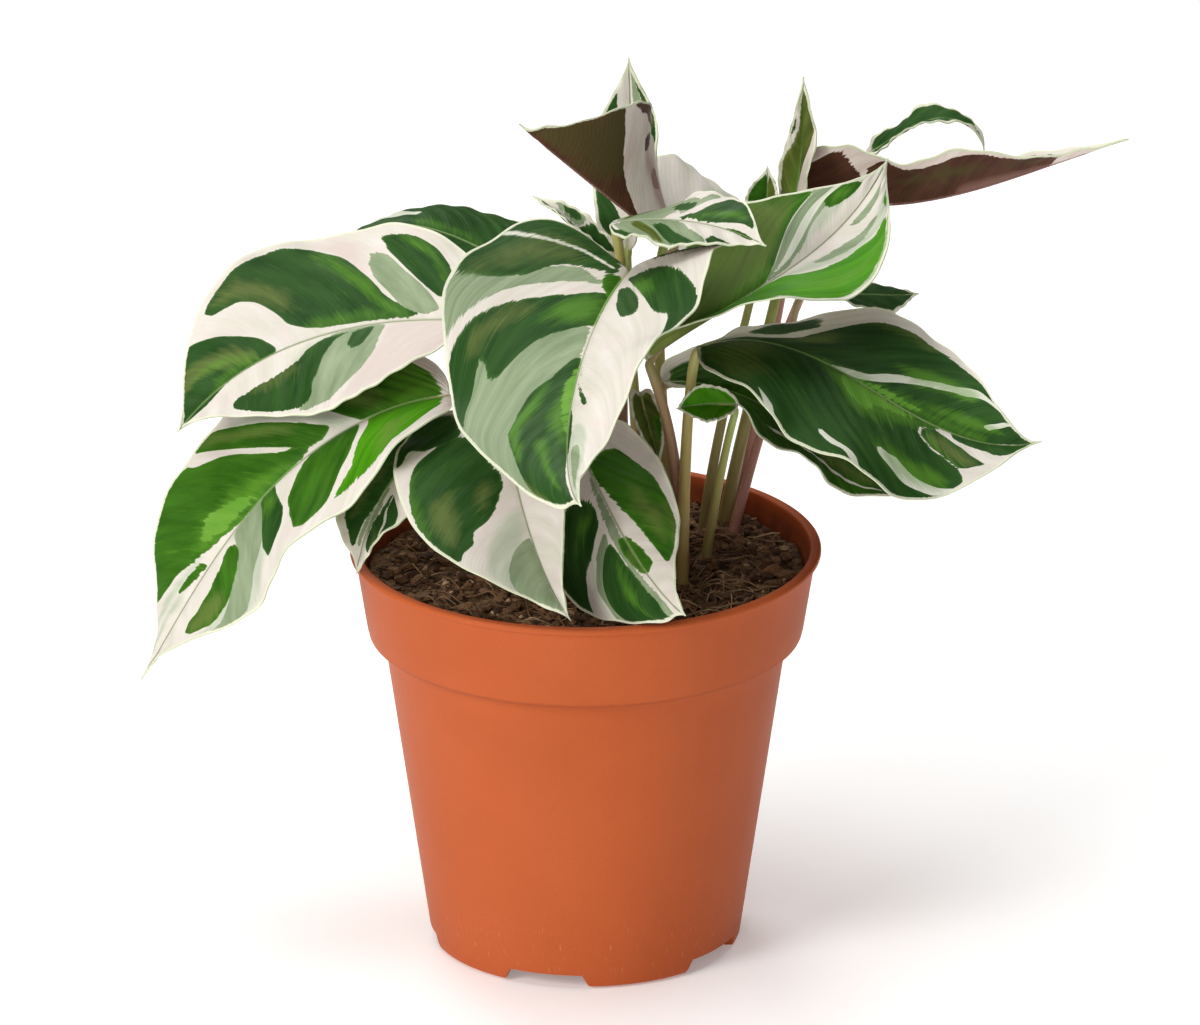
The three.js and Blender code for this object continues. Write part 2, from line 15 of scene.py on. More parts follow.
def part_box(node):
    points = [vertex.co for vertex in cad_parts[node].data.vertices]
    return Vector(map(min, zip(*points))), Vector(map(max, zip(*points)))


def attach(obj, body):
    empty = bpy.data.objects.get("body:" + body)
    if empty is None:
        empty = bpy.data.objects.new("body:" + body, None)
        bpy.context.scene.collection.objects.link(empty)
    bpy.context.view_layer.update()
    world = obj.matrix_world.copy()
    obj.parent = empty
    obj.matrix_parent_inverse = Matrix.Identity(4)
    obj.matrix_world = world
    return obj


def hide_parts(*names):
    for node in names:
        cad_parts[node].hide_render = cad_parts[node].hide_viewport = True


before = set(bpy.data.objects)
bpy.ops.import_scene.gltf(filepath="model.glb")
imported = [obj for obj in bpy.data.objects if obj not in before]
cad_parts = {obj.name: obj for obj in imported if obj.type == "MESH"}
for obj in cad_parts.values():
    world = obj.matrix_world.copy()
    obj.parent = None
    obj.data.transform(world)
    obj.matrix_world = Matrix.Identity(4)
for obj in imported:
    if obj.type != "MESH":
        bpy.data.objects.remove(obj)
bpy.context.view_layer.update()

# ---- sizes, in millimetres

MM = 0.001
POT_LOW, POT_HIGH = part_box("pot")
AXIS = ((POT_LOW + POT_HIGH) / 2).to_2d().to_3d()    # the pot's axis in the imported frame
UP = Vector((0, 0, 1))
WHITE = (1, 1, 1)
ROUND = 6.28                       # a full turn for a random heading

POT = Facts(height=106, wall=1.5, lip=60, lip_height=1.6, collar_top=58.7, collar_low=55.3,
            collar_height=23, body_top=51.5, body_low=39.8, foot=37.5, foot_inner=36,
            foot_round=2.6, floor=4.4, steps=180, corner_angle=38)
NOTCH = Facts(count=5, first=-15, width=22.8, top_width=19, height=3.9, reach=10)
DRAIN = Facts(radius=4, ring=26, sides=32, depth=10)
SOIL = Facts(level=99, rim_share=14.5 / 21.5, clearance=0.6, chamfer=0.3, rim_drop=3, rings=64,
             steps=150, heap=4.5, heap_centre=(22, 12), heap_spread=26, swell=0.4,
             waves=(0.31, 0.27, 0.19),
             lump=7.5, lump_height=1.7, grain=2.1, grain_height=0.75, sunk=1.1)
BIT = Facts(limit=52.5, squash=((0.7, 1.5), (0.5, 1), (0.35, 0.8)), tilt=0.5, rough=0.28,
            lift=(-0.1, 0.5))
FIBRE = Facts(limit=50, edge=54, spread=(9, 8), steps=7, sides=4, bend=0.35, wander=0.25,
              arch=(0.2, 0.9), arch_share=0.22, clear=0.2)
BLADE = Facts(thickness=0.42, grid=(48, 76), large=60, large_grid=(84, 130), spine_steps=480,
              fold_ease=3, vein_bend=1.15, waves=2.5, ruffle=0.6, ruffle_waves=(41, 17),
              quilt=0.16, quilt_pitch=6.3, rib_depth=0.45, rib_width=1.3)
STALK = Facts(stout=(1.9, 1.2), thin=(1.5, 0.9), start=84, steps=64, sides=14, samples=200,
              corner_angle=60, sheath=0.12, sheath_height=16, joint=0.07, joint_below=5,
              joint_height=3.5)
NECK = Facts(length=5.0, taper=0.7, turn=1.6, samples=30)    # a stalk's end under the midrib

# Three lines for each leaf.
# First its name, the colours of its upper side (as the material slot says it) and of its
# underside, and then:
#   base, length, width      where the blade starts, its length, half widths (left, right)
#   shape, lobe              outline: where it is widest, how full; how far it reaches back
# Second the form of the blade:
#   heading, pitch, roll     direction, climb and turn of the midrib along it, in degrees
#   fold_left, fold_right    lift of each half at (base, tip)
#   curl, wave, phase        more lift towards the margin; height and shift of its waves
# Third the stalk, its build and colour, and then:
#   foot, lean, bend         its place in the soil, its slant there, how far the directions
#                            of its two ends carry
#   meet, seat               its direction at the blade, how far before the blade it ends
LEAF_FIELDS = """name slot below base length width shape lobe
    heading pitch roll fold_left fold_right curl wave phase
    stalk colour foot lean bend meet seat"""
LEAVES = """
front cream purple 11,-2,181 107 32,38 .5,.5 14
  244,282 -12,-20,8 23,18 12,52 42,-17 -34,1 3,-4 -.1,.1
  stout brown 12,-1 -.08,.04 .58,.16 .1,-.2,1.2 .7
left_high dark_green purple -29,3.5,165.5 85 26,34 .85,.5 3
  154,220 -5,-17,-42 -25,-37 15,-1 10,-10 -1,-5 0,-2.5 0,.2
  stout brown 3,10 -.11,.02 .3,.14 -.3,.1,1 .8
left_back dark_green purple -10,39,163 63 24,23 .8,.5 3
  158,166 18,11,-56 -18,-8 10,10 0,-9 0,-24 0,-.5 0,.1
  stout brown 8,18 -.04,0 .2,.15 -.3,.1,1 .7
left_low green green -34.5,-5,148.5 114 27,29 .85,.5 3
  190,178 -2,-49,-61 -20,-32 22,-8 13,7 -5,0 3.5,2.5 0,.5
  stout brown -4,9 -.3,-.08 .38,.34 -.3,-.2,.5 .6
left_small dark_green purple -38.5,-7.5,139.5 42 14,15 .8,.5 3
  203,228 -38,-53,-82 -4,4 6,13 11,12 -1,2 -1.5,.5 -.15,.3
  thin brown -8,3 -.09,-.01 .2,.3 -.4,-.2,.9 .8
front_left cream purple -20.5,-5.5,145.5 70 17,30 .65,.5 3
  272,302 -14,-37,-26 15,22 26,37 12,12 19,-4 0,1.5 0,.5
  stout brown -1,2 -.06,-.04 .34,.27 0,-.1,1 .8
front_right green purple -3,-5.5,138 75 19,22 .85,.5 4
  291,296 -25,-22,-1 20,43 21,24 0,-11 4,-34 2,1.5 .1,.5
  stout brown 4,-4 -.03,-.04 .28,.24 0,-.1,1 1.5
right_large dark_green purple 28.5,-5.5,162 94 31,34 .95,.5 6
  -1,-3 22,-33,16 3,34 -27,34 -2,9 -11,-10 2.5,-3 .05,.4
  stout yellow 24,-16 .02,.03 .43,.13 .3,0,1 1
right_back dark_green purple 54.5,35,161 32 13,15 .85,.5 3
  10,20 3,-7,-4 -2,18 -3,-4 20,1 -22,1 .5,0 .05,.3
  thin pink 34,11 .07,.03 .26,.26 .2,0,1 .9
right_bright bright_green green 15.5,-6,158.5 83 25,28 .8,.5 1
  13,44 36,24,56 18,41 9,0 65,10 -10,-4 1.5,3 .05,.35
  stout brown 25,-8 0,0 .2,.34 -.6,.2,1.4 .6
top_small green purple 7,-4.5,195 43 15,12 .8,.5 2
  -12,-37 13,0,-15 2,28 -14,22 2,14 -18,-12 1,-1 .2,.1
  stout yellow 5,6 .04,.12 .34,.36 -.2,-.8,1.1 2.4
top_furled underside purple 23.5,11.5,182.5 58 27,9 .7,.5 0
  210,193 37,43,41 20,-6 118,57 35,35 34,0 1,0 -.1,.3
  stout pink 15,13 -.18,-.28 .36,.44 .7,.4,.6 .7
top_upright green purple 10.5,30.5,175 49 10,10 .85,.45 3
  79,100 62,69,76 -19,-9 20,10 37,19 0,5 0,-2 0,.45
  stout green 15,20 .01,.02 .34,.3 0,.2,1 .4
back_pale cream purple 20.5,38,175 31 23,12 .8,.5 3
  37,19 29,-3,-22 34,13 14,-4 10,10 -9,0 1,0 .05,.3
  stout green 22,24 .01,.02 .24,.16 .3,.2,.9 .8
back_curled young purple 9,18,174.5 30 6,5 .8,.5 3
  171,137 27,39,3 4,-13 51,38 38,41 -9,-1 0,0 0,.35
  thin brown 9,12 -.04,.02 .4,.22 0,0,1 .6
upright_narrow young purple 51,31,175.5 44 5,8 .8,.5 3
  62,91 60,66,84 -18,-3 31,35 43,33 5,13 1,1.5 0,.1
  stout green 33,24 .07,-.01 .31,.13 .1,.2,1 .5
new_shoot young purple 45.5,32,179.5 17 6,4 .8,.5 3
  81,87 50,58,68 -4,-1 30,30 33,30 -1,2 0,0 0,.3
  thin green 29,20 .01,.03 .41,.1 0,.2,1 .6
far_right underside purple 53,45.5,186 90 14,16 .55,.4 4
  -17,-1 -17,18,16 -8,20 0,5 82,60 0,-7 0,-2 0,.3
  stout pink 36,30 .08,.03 .3,.25 0,0,1 1
far_arch dark_green purple 72.5,55.5,192 37 5,5 .8,.5 3
  1,-11 33,15,-91 -2,-2 25,29 6,11 -5,-2 1,.5 0,.3
  thin pink 32,32 .26,.32 .46,.42 .7,-.3,1.6 .5
right_under green purple 20,6,148 75 18,19 .85,.5 3
  13,-15 1,-34,-16 9,30 10,10 21,4 0,4 0,-2.5 0,.3
  stout brown 17,-3 -.02,.04 .41,.1 .4,.1,.9 .6
inner_curl bright_green green 38.5,-12,148.5 16 6,5 1.1,.5 1
  175,205 5,0,-5 -40,-50 0,15 15,20 20,20 0,0 0,0
  thin green 29,2 .03,-.05 .25,.15 .3,0,1 1.5
inner_small green purple 14,1,147 20 4,5 .8,.5 3
  283,311 -41,-54,-61 1,2 30,30 29,27 0,-3 .5,0 .1,.3
  thin pink 13,-7 .02,.2 .32,.32 0,-.2,1 1.2
"""

# The variegation of each leaf, read one by one.  After a leaf's name stands how far a side vein
# climbs on the way out, for the left and the right half, and then its patches.  A patch is a
# tone, the half it lies on, and its corners as out,along: percent of the way from the midrib
# to the margin, and percent of the way from base to tip.  Long patches run on to the next
# line.  glow and tan tint what is green.
VARIEGATION = """
front .55,.6
mist L 2,66 8,92 55,97 62,80 45,68 20,62
grey L 12,70 20,84 44,92 50,80 34,72
dark L 36,59 24,57 13,51 3,43 10,47 20,52
comb L 10,45 2,36 5,42
dark L 51,30 35,29 22,22 10,12 20,13 35,19 47,25
dark L 100,49 88,41 82,34 67,32 56,27 30,15 12,8 25,9 45,11 58,14 75,19 100,29
grey L 100,47 92,41 85,34 92,31 100,37
glow L 30,13 48,17 60,24 50,24 30,17
dark L 30,2 60,5 100,10 100,0 60,0
dark L 0,52 0,71 6,70 11,64 9,59 4,54
dark R 0,34 0,70 6,77 16,88 30,93 74,93 92,88 94,84 88,78 75,73 64,67 60,61 48,55 35,48 17,42 6,35
glow R 20,44 48,55 62,62 66,70 56,68 44,58 22,50
glow R 0,40 0,66 12,64 20,58 12,48
glow R 20,62 34,84 44,84 36,64
tan R 78,70 96,80 96,88 84,84
comb R 0,35 0,64 6,60 9,52 8,44
grey R 2,24 2,38 15,46 35,54 48,62 60,70 66,77 76,83 88,84 98,82 99,56 93,50 84,40 60,36 30,26 12,22
mist R 60,56 66,66 80,74 98,79 98,62 84,52 74,52
dark R 0,11 0,23 6,24 30,31 50,39 60,43 68,43.5 70,40 74,39 77,42 81,46 92,53.5 99,60 99,40 83,33
61,26 39,20 22,16 4,11
glow R 0,12 0,23 20,25 36,28 34,23 18,16
tan R 40,24 60,32 84,40 80,34 56,26
grey R 8,9 30,13 60,21 84,31 100,37 100,25 84,19 70,18 50,12 30,8
dark R 6,2 9,5 30,7.5 50,11.5 58,17 74,21 100,25 100,0 20,0
tan R 30,5 60,12 90,20 90,10 60,5
clear R 10,3.2 45,4.4 74,7.4 98,11 100,10 74,6.5 45,3.5 10,2.5
green R 0,4 0,13 10,9.5 14,6 8,4
left_high .32,.32
mist L 32,57 20,58 4,50 4,42 20,46
dark L 5,37 6,46 13,52 24,57 30,63 36,73 46,80 60,82.5 78,82.5 89,77 90,66 80,60 72,57 60,56 46,52
28,48 12,43
tan L 46,75 34,73 25,58 34,57 44,66
grey L 92,66 88,52 80,45 68,37 46,31 20,28 1,27 2,44 12,44 28,49 46,53 60,57 74,59 84,63
dark L 33,38 24,40 6,37 3,30 16,32 30,35
blush L 0,0 0,27 40,30 80,42 100,50 100,0
dark L 0,76 3,80 12,84.5 23,89 34,93 40,98 0,99
dark R 0,61 6,61 22,64 42,69.5 68,75 100,80 100,98 60,99 0,99
tan R 3,66 20,68 40,74 66,80 100,86 100,92 60,87 30,80 10,75
glow R 0,66 0,84 16,80 14,68
glow R 4,70 30,80 70,87 60,84 30,74
dark R 3,20 4,38 6,46 11,51 20,55 36,57 53,60 66,64 77,70.5 91,72 95,61 93,50 89,46 83,43 70,38
49,33 27,28 12,21 7,17
glow R 2,18 5,46 12,52 14,40 12,28 28,33 56,40 84,47 84,42 60,37 30,29 12,22
tan R 30,53 66,63 88,71 90,62 78,60 50,52
grey R 6,15 10,21 24,25 41,30 58,32.5 74,32 68,28 54,24 33,16 13,11
blush R 40,34 60,36 82,42 92,46 96,40 84,34 66,33
dark R 28,12 40,18 56,23.5 74,28.5 88,30 90,22 84,17 70,12 46,10
glow R 50,13 72,18 84,26 88,22 80,15
left_low .3,.3
green L 80,83 62,84 44,81.5 34,76 26,71 19,67 9,62 16,60.5 30,60.5 46,65 60,69.5 74,75 82,79
tan L 82,84 50,83 34,75 46,70 66,73 78,78
mist L 98,84 90,82 62,72 40,64 20,58 0,62 0,46 20,47 50,50 78,58 98,66
grey L 98,80 86,76 65,71 43,65 22,60.5 0,59 0,49 14,49 35,51 54,55.5 74,63 98,71
dark L 76,55 57,55 38,53 16,50.5 0,49.5 0,44.5 16,45.5 40,45.5 58,48 72,52
glow L 0,49 24,51 24,46 0,45
green L 86,43.5 78,46 57,45 34,44 16,39 0,34 0,21 17,22 40,25.5 62,32 80,37
dark L 78,43 58,42 36,40 20,35 14,28 26,26 44,29 62,35 76,39
mist L 70,41 54,41 34,37 26,31 40,31 60,36
bright L 80,35 73,33 64,27.5 48,25 34,23 16,19.5 0,19 0,1 30,2 66,6 82,12 86,22 82,30
tan L 70,20 40,18 30,12 60,12 78,16
mist R 16,68 34,76 60,83 84,88 60,88 30,80 12,72
green R 0,37 0,55 4,60 14,67.5 30,73 52,79 74,83 98,85 99,59 86,57 64,50 39,44.5 22,40 6,33
dark R 24,46 45,56 75,68 97,76 97,68 75,58 50,50
glow R 2,38 2,62 16,68 30,70 40,64 30,54 14,44
comb R 4,50 8,61 26,67 40,63 30,57 14,51
green R 3,69 9,75 22,79 28,78.5 20,74 11,69.5
green R 4,30 6,34 30,40.5 60,47.5 86,53 99,56 99,50 74,44 52,38 30,32 12,27
tan R 30,36 60,45 96,54 98,50 60,42 34,34
mist R 2,24 8,27 30,31 50,37 84,48 80,42 50,33 26,27 6,20
mist R 10,80 40,92 80,96 60,90 30,82 14,76
green R 0,1 0,20 12,23 32,27 60,35 92,44 98,30 96,12 60,3
mist R 10,13 40,19 80,26 80,24 40,16 12,11
tan R 6,16 30,24 60,30 80,34 60,22 30,14
glow R 0,4 0,16 16,14 40,12 90,12 95,5 60,2 20,1
bright L 0,2 0,6 20,6 60,8 60,4 20,2
left_small .35,.35
dark L 35,46 76,56 94,63 100,75 100,85 70,84 41,81 20,75 24,61 30,48
dark L 0,2 0,30 40,36 85,48 90,25 50,5
clear L 35,46 40,60 68,69 100,76 100,74 70,66.5 44,57 38,46
grey L 2,44 4,70 14,80 20,74 22,58 14,44
tan L 60,76 90,82 96,78 70,72
dark R 0,18 1,50 5,60 15,70 30,82 55,85 70,72 76,60 96,42 96,20 50,8
tan R 20,30 30,60 50,70 50,40
grey R 0,50 3,70 12,84 24,84 14,70 5,58
front_left .4,.4
dark L 8,2 20,20 55,38 94,44 97,25 60,4
grey L 10,24 30,34 70,47 96,50 90,44 55,39
grey R 1,61 3,82 8,91 30,95 100,97 100,84 70,77 40,70 14,63
mist R 1,50 10,66 40,80 92,94 96,76 66,68 40,59 14,50
dark R 10,35.5 15,42 27,49.5 40,53.5 53,55.5 62,60.5 79,63 92,66 99,66 97,58 97,50 94,42 88,33
79,26 66,20.5 49,15.5 40,15.5 31,19 19,28
tan R 54,38 66,54 82,60 86,52 76,42
tan R 20,38 34,48 40,44 30,36
glow R 78,28 88,40 96,56 98,50 94,36
dark R 44,15 62,19.5 76,21.5 89,20.5 94,28 99,28 99,12 88,4 66,4 50,9
front_right .55,.6
green L 1,15 1,20 10,33 20,44 31,58 41,68 53,74.5 72,77 86,75.5 93,68 88,57 79,40 69,28 58,18
34,14.5
tan L 60,70 44,60 34,44 44,34 62,48 78,62
tan L 82,72 74,54 84,56 90,68
dark L 30,24 50,42 62,52 60,34 46,22
green L 0,49 0,69.5 8,70 23,69 19,64 12,57 4,50
green R 0,49 0,69 8,67.5 12,57 9,49
tan R 0,56 0,68 8,66 8,58
grey R 2,18 2,46 10,60 10,79 17,87 40,91 100,96 100,90 56,86 30,82 22,76 16,66 14,48 8,22
dark R 16,49 16,68 21,78.5 30,84 56,88 100,92.5 100,77.5 76,68 52,58 26,49.5
glow R 20,56 34,72 60,80 90,86 60,76 36,62
grey R 16,43 20,49 34,54.5 56,63.5 78,71.5 100,78 100,73 78,65 66,57 44,50.5
clear R 40,50 66,59 78,67 100,74 100,71 82,64 70,58 46,49
dark R 14,30 17,39 44,48 62,51 87,59.5 100,65 100,47 64,37 52,27.5 30,27
glow R 20,34 50,44 60,42 34,32
dark R 12,4 40,14 85,30 96,22 60,4
right_large .62,.5
dark L 0,1 0,99 99,99 100,90.5 98,86 92,78 89,70 88,58 85,50 74,42 51,33 30,27.5 17,21 8,8
dark L 84,36 68,35 55,29 38,25 30,19 34,16 52,16 72,20 90,25 92,34
tan L 92,66 78,62 80,46 90,54
tan L 40,40 20,28 16,22 34,28 60,38
clear L 1,36 2,45 10,51 25,57.5 38,65.5 56,76 77,82.5 97,89.5 97,87 78,79 58,72 40,62 27,53.5 13,48
6,41
clear L 26,85 50,88.5 90,92 90,91 52,87 30,83
glow L 8,66 14,80 34,90 46,88 34,78 20,66
glow L 0,30 0,84 12,84 16,72 10,56 6,40
comb L 0,42 2,62 9,66 10,54
tan R 0,4 0,22 60,20 96,14 60,4
dark R 0,1 0,73 7,69.5 12,66 20,66 31,70 44,75 60,79 79,80.5 90,81 97,78 100,80 100,2
dark R 0,75 10,75.5 18,81 31,85.5 57,89.5 99,94.5 100,99 0,99
dark R 6,70.5 13,75 26,79.5 48,83.5 68,85.5 62,80 44,75.8 31,70.8 20,67 12,67
tan R 8,70 14,74 28,79 48,83 66,84 56,80 34,73 18,68
glow R 10,69 22,68 40,75 58,80 50,79 30,73
glow R 0,34 0,74 8,70 16,64 30,56 40,52 34,46 18,40
comb R 1,40 1,66 10,62 15,54 30,51 24,45 12,41
clear R 61,57 61,63 68,67 78,71.5 88,77 96,80 97,76 90,72 84,68 76,63 68,58
clear R 76,41 83,48 89,52.5 100,55 100,52 90,49.5 86,45 80,41
clear R 84,20 90,26 100,28 100,24 92,22
glow R 50,60 62,74 80,78 88,74 76,62 60,54
glow L 30,60 50,78 76,82 60,66 40,54
right_bright .7,.75
green L 0,2 0,42 12,49 30,56 48,63 65,70 83,76 95,78 97,60 95,20 60,2
tan L 0,4 0,38 20,50 50,62 80,72 97,72 97,30 60,6
glow L 0,26 2,42 12,48 20,44 12,30
grey L 2,42 3,52 12,60 28,67 44,74.5 66,81 98,88 98,78 83,76.5 65,70.5 48,63.5 30,56.5 12,49.5
clear L 2,44 12,57 30,66 50,74 78,82.5 98,87 98,84.5 78,80 54,71 34,63 14,53.5
mist L 4,52 10,60 22,74 38,84 56,89 62,82 46,72 26,60 8,52
green L 97,84 84,89 64,89.5 50,88 36,83 40,76 52,76 74,79
glow L 90,85 60,86 44,82 50,78 70,81
green L 97,75 97,60 90,60 86,66
bright R 0,43 8,49 24,53 37,59 45,65 52,71 68,76.5 77,82 88,84 93,74 94,60 97,48 92,42 60,38 0,38
glow R 20,46 50,54 70,66 80,78 88,80 84,62 70,48
comb R 88,84 99,86 99,52 94,60 92,74
bright R 0,2 0,38 20,40 100,38 100,10 50,2
mist R 2,44 8,56 30,68 50,80 70,91 92,97 97,88 84,85 66,77 44,65 20,53
grey R 16,58 24,67 50,81 60,83 46,71 26,60
grey R 10,75 20,85 50,95 48,89 24,77
bright R 70,88 88,92 96,90 84,86
olive L 0,85 10,92 2,95
left_back .4,.4
dark R 0,4 0,85 45,89 100,84 100,34 80,12 40,4
clear R 31,63 44,61 56,70 88,73 84,81 42,84.5 28,76
grey R 12,36 18,56 26,62 20,44
glow R 4,30 6,60 14,60 12,34
dark L 0,4 0,62 30,74 80,84 98,70 96,34 70,10
grey L 0,62 30,74 80,84 90,90 40,88 0,76
right_under .4,.4
green R 0,2 0,96 40,97 96,88 97,10 50,2
clear R 58,38 56,60 62,86 68,86 64,60 64,38
dark R 72,30 74,70 82,88 92,84 92,30
dark R 4,4 20,30 50,34 60,8
tan R 10,40 20,80 50,84 44,50
green L 0,2 0,96 40,97 92,84 97,40 60,4
dark L 10,10 20,50 60,60 90,60 80,20
clear L 0,64 40,76 90,86 92,82 40,71 0,60
right_back .35,.35
dark L 0,2 0,98 40,96 82,86 94,62 94,28 60,4
dark R 0,2 0,98 40,96 88,88 88,60 97,40 70,4
mist R 62,50 82,58 92,80 86,80 80,62
tan L 70,62 96,70 92,82 76,80
top_small .4,.4
dark L 6,38.5 5,60 14,68 24,73.5 41,81 58,86 76,86.5 92,84 94,67 92,61 65,56 29,50 14,44
glow L 10,50 30,66 60,80 60,70 30,56
dark L 0,65 15,84 12,90 0,90
dark R 0,66 6,77 32,90 0,90
dark L 58,36 60,45 42,46 28,43 26,36 46,32
grey L 74,35 76,45 60,48 54,36
grey L 0,2 0,30 24,37 60,38 96,34 96,12 60,2
olive L 10,8 50,18 90,24 80,14 40,6
grey L 14,40 40,46 70,52 92,56 92,50 60,44 30,38
grey R 2,6 3,40 14,45 32,51 50,58 66,64 94,69 98,62 98,30 84,12 50,3
olive R 4,14 30,22 60,32 92,44 94,36 70,24 40,14
dark R 22,33 50,43 70,54 93,64 96,52 84,43 62,35 40,29
dark R 55,69 70,75 100,86 100,71 75,66
dark R 70,2 76,16 100,24 100,2
top_furled .35,.35
dark L 0,22 0,97 60,97 100,92 100,64 79,61 48,53 22,42 6,29
tan L 14,44 10,88 50,95 100,90 100,56 70,54 40,42
blush L 20,2 40,24 60,36 70,34 60,2
olive L 84,38 70,41 60,37 70,34 86,34
olive L 64,24 50,27 42,22 52,16 62,15
olive L 86,46 92,58 100,60 100,28 94,32
tan L 60,44 80,60 100,64 100,90 80,80 50,56
dark R 0,2 0,98 60,96 97,74 97,26 50,2
tan R 20,30 40,60 60,50
top_upright .35,.35
dark R 20,8 36,40 58,72 66,92 98,92 98,34 60,8
grey R 4,40 10,72 30,92 64,94 58,74 34,44
dark L 10,6 40,24 90,36 92,14 50,4
grey L 10,34 40,50 92,62 92,46 40,36
dark L 8,44 26,66 80,84 94,72 40,54
tan R 70,70 90,86 96,80 84,64
back_pale .35,.35
blush L 0,4 0,90 20,80 14,40
mist L 4,46 30,66 76,84 86,76 40,50
dark L 2,4 12,14 60,24 92,26 80,10 40,3
dark R 2,8 14,28 70,44 94,40 70,12
grey R 4,50 40,64 90,70 60,74 14,64
back_curled .35,.35
dark L 0,4 0,96 60,94 94,72 94,28 50,4
dark R 0,4 0,50 30,50 96,46 84,16 40,4
grey R 22,52 26,72 70,80 98,72 84,54 50,50
dark R 36,56 40,68 70,75 92,68 78,58 54,54
upright_narrow .35,.35
olive L 0,4 0,92 40,86 30,70 60,60 100,52 96,22 50,4
dark L 56,70 76,79 100,86 100,60 76,66
olive R 0,36 0,92 50,92 98,86 100,74 60,60 18,44
blush R 0,34 18,44 60,60 100,72 100,34 50,8 0,4
glow L 4,20 4,60 20,60 30,30
new_shoot .35,.35
green L 0,4 0,80 40,88 96,72 96,26 50,4
olive R 0,4 0,70 40,86 96,82 96,26 50,4
far_right .3,.3
dark L 0,8 0,77 60,79 92,66 94,30 60,8
dark R 0,24 0,76 30,79 60,80 97,76 84,70 80,66 92,62 84,54 77,42 84,36 97,33 60,24
dark R 0,2 0,21 50,23 96,17 60,2
blush R 0,48 0,78 10,78 14,64 12,50
blush L 0,48 0,78 14,78 18,60
blush R 50,80 96,84 96,78 60,80
tan R 40,30 60,40 62,60 40,60
far_arch .35,.35
dark L 0,6 0,84 50,84 97,74 97,18 60,4
dark R 0,6 0,84 50,78 97,62 97,18 60,4
grey L 0,84 50,84 70,88 0,95
inner_curl .4,.4
bright L 0,3 0,96 60,96 97,86 97,14 60,3
bright R 0,3 0,96 60,96 97,86 97,14 60,3
dark R 20,20 30,60 60,84 60,50 40,20
glow L 60,34 60,60 96,70 98,44
inner_small .4,.4
olive L 0,6 0,92 60,88 96,62 96,24 60,6
olive R 0,6 0,90 50,86 96,58 96,24 60,6
green L 30,40 50,70 84,70 84,40
"""
TONES = "mist grey blush olive dark green bright comb clear glow tan".split()
PLAIN_SHADES = "#e1dad2", "#d2cdbf"
TONE_SHADES = dict(                # of each tone, its usual, its deep and its pale shade
    mist=("#bcc5ae", "#a7b39b", "#d4d7c5"),
    grey=("#98a686", "#7a8c6a", "#b5c0a3"),
    olive=("#667231", "#42501f", "#8a9750"),
    dark=("#315522", "#1e4016", "#517a35"),
    green=("#3d6f18", "#28520e", "#63962c"),
    bright=("#519614", "#397a05", "#76b230"),
    comb=("#7dac48", "#5b9233", "#9cbf68"),
    clear=("#dfdfd0", "#ccd0bd", "#eae9df"))
UNDERSIDES = dict(                 # patches, their tint, and the ground between them
    purple=(("#5b3a29", "#44291f"), "#4c4624", ("#eee4dc", "#dac5bc")),
    green=(("#8c9d52", "#758a3e"), "#9aa35c", ("#cfcfb4", "#b9bf95")))
STALK_SHADES = dict(               # from the soil up, and the joint under the blade
    brown=("#a1745a", "#b78a70", "#ab9567", "#a9a06c"),
    yellow=("#ae9157", "#c4ae66", "#c2b76e", "#c0bb77"),
    pink=("#93604f", "#b98474", "#c09b88", "#b5a87b"),
    green=("#988051", "#a89e5f", "#a2b05d", "#a6b767"))


def numbers(word):
    """'3,4' as two numbers, '3' as one, and any other word as it stands."""
    if word[0].isalpha():
        return word
    values = tuple(float(part) for part in word.split(","))
    return values if len(values) > 1 else values[0]


def read_leaves():
    """The facts of each leaf, by the names in LEAF_FIELDS."""
    fields = LEAF_FIELDS.split()
    words = [numbers(word) for word in LEAVES.split()]
    return [Facts(**dict(zip(fields, words[i:]))) for i in range(0, len(words), len(fields))]


def read_variegation():
    """For each leaf, its veins' climb and its patches as (tone, half, corners)."""
    leaves = {}
    for line in VARIEGATION.strip().split("\n"):
        words = [numbers(word) for word in line.split()]
        if words[0] in TONES:
            patches.append((words[0], words[1], words[2:]))
        elif isinstance(words[0], tuple):
            patches[-1][2].extend(words)
        else:
            patches = []
            leaves[words[0]] = (words[1], patches)
    return leaves


# ---- materials


class Wire:
    """An output of a shader node that can be used in ordinary sums."""

    def __init__(self, finish, socket):
        self.finish, self.socket = finish, socket

    def _sum(self, operation, *values, clip=False):
        settings = dict(operation=operation, use_clamp=clip)
        return self.finish.add("Math", settings, dict(enumerate(values)))

    def __add__(self, other): return self._sum("ADD", self, other)
    def __radd__(self, other): return self._sum("ADD", other, self)
    def __sub__(self, other): return self._sum("SUBTRACT", self, other)
    def __rsub__(self, other): return self._sum("SUBTRACT", other, self)
    def __mul__(self, other): return self._sum("MULTIPLY", self, other)
    def __rmul__(self, other): return self._sum("MULTIPLY", other, self)
    def __truediv__(self, other): return self._sum("DIVIDE", self, other)
    def __rtruediv__(self, other): return self._sum("DIVIDE", other, self)
    def __abs__(self): return self._sum("ABSOLUTE", self)
    def floor(self): return self._sum("FLOOR", self)
    def fraction(self): return self._sum("FRACT", self)
    def sine(self): return self._sum("SINE", self)
    def above(self, edge): return self._sum("GREATER_THAN", self, edge)
    def highest(self, other): return self._sum("MAXIMUM", self, other)
    def clip(self): return self._sum("ADD", self, 0, clip=True)

    def past(self, start, slope):
        """0 up to the start, from there rising by the slope, 1 at most."""
        return ((self - start) * slope).clip()

    def within(self, limit, blur):
        """1 below the limit, 0 above it, with a soft step as wide as the blur."""
        return ((limit - self) / blur + 0.5).clip()


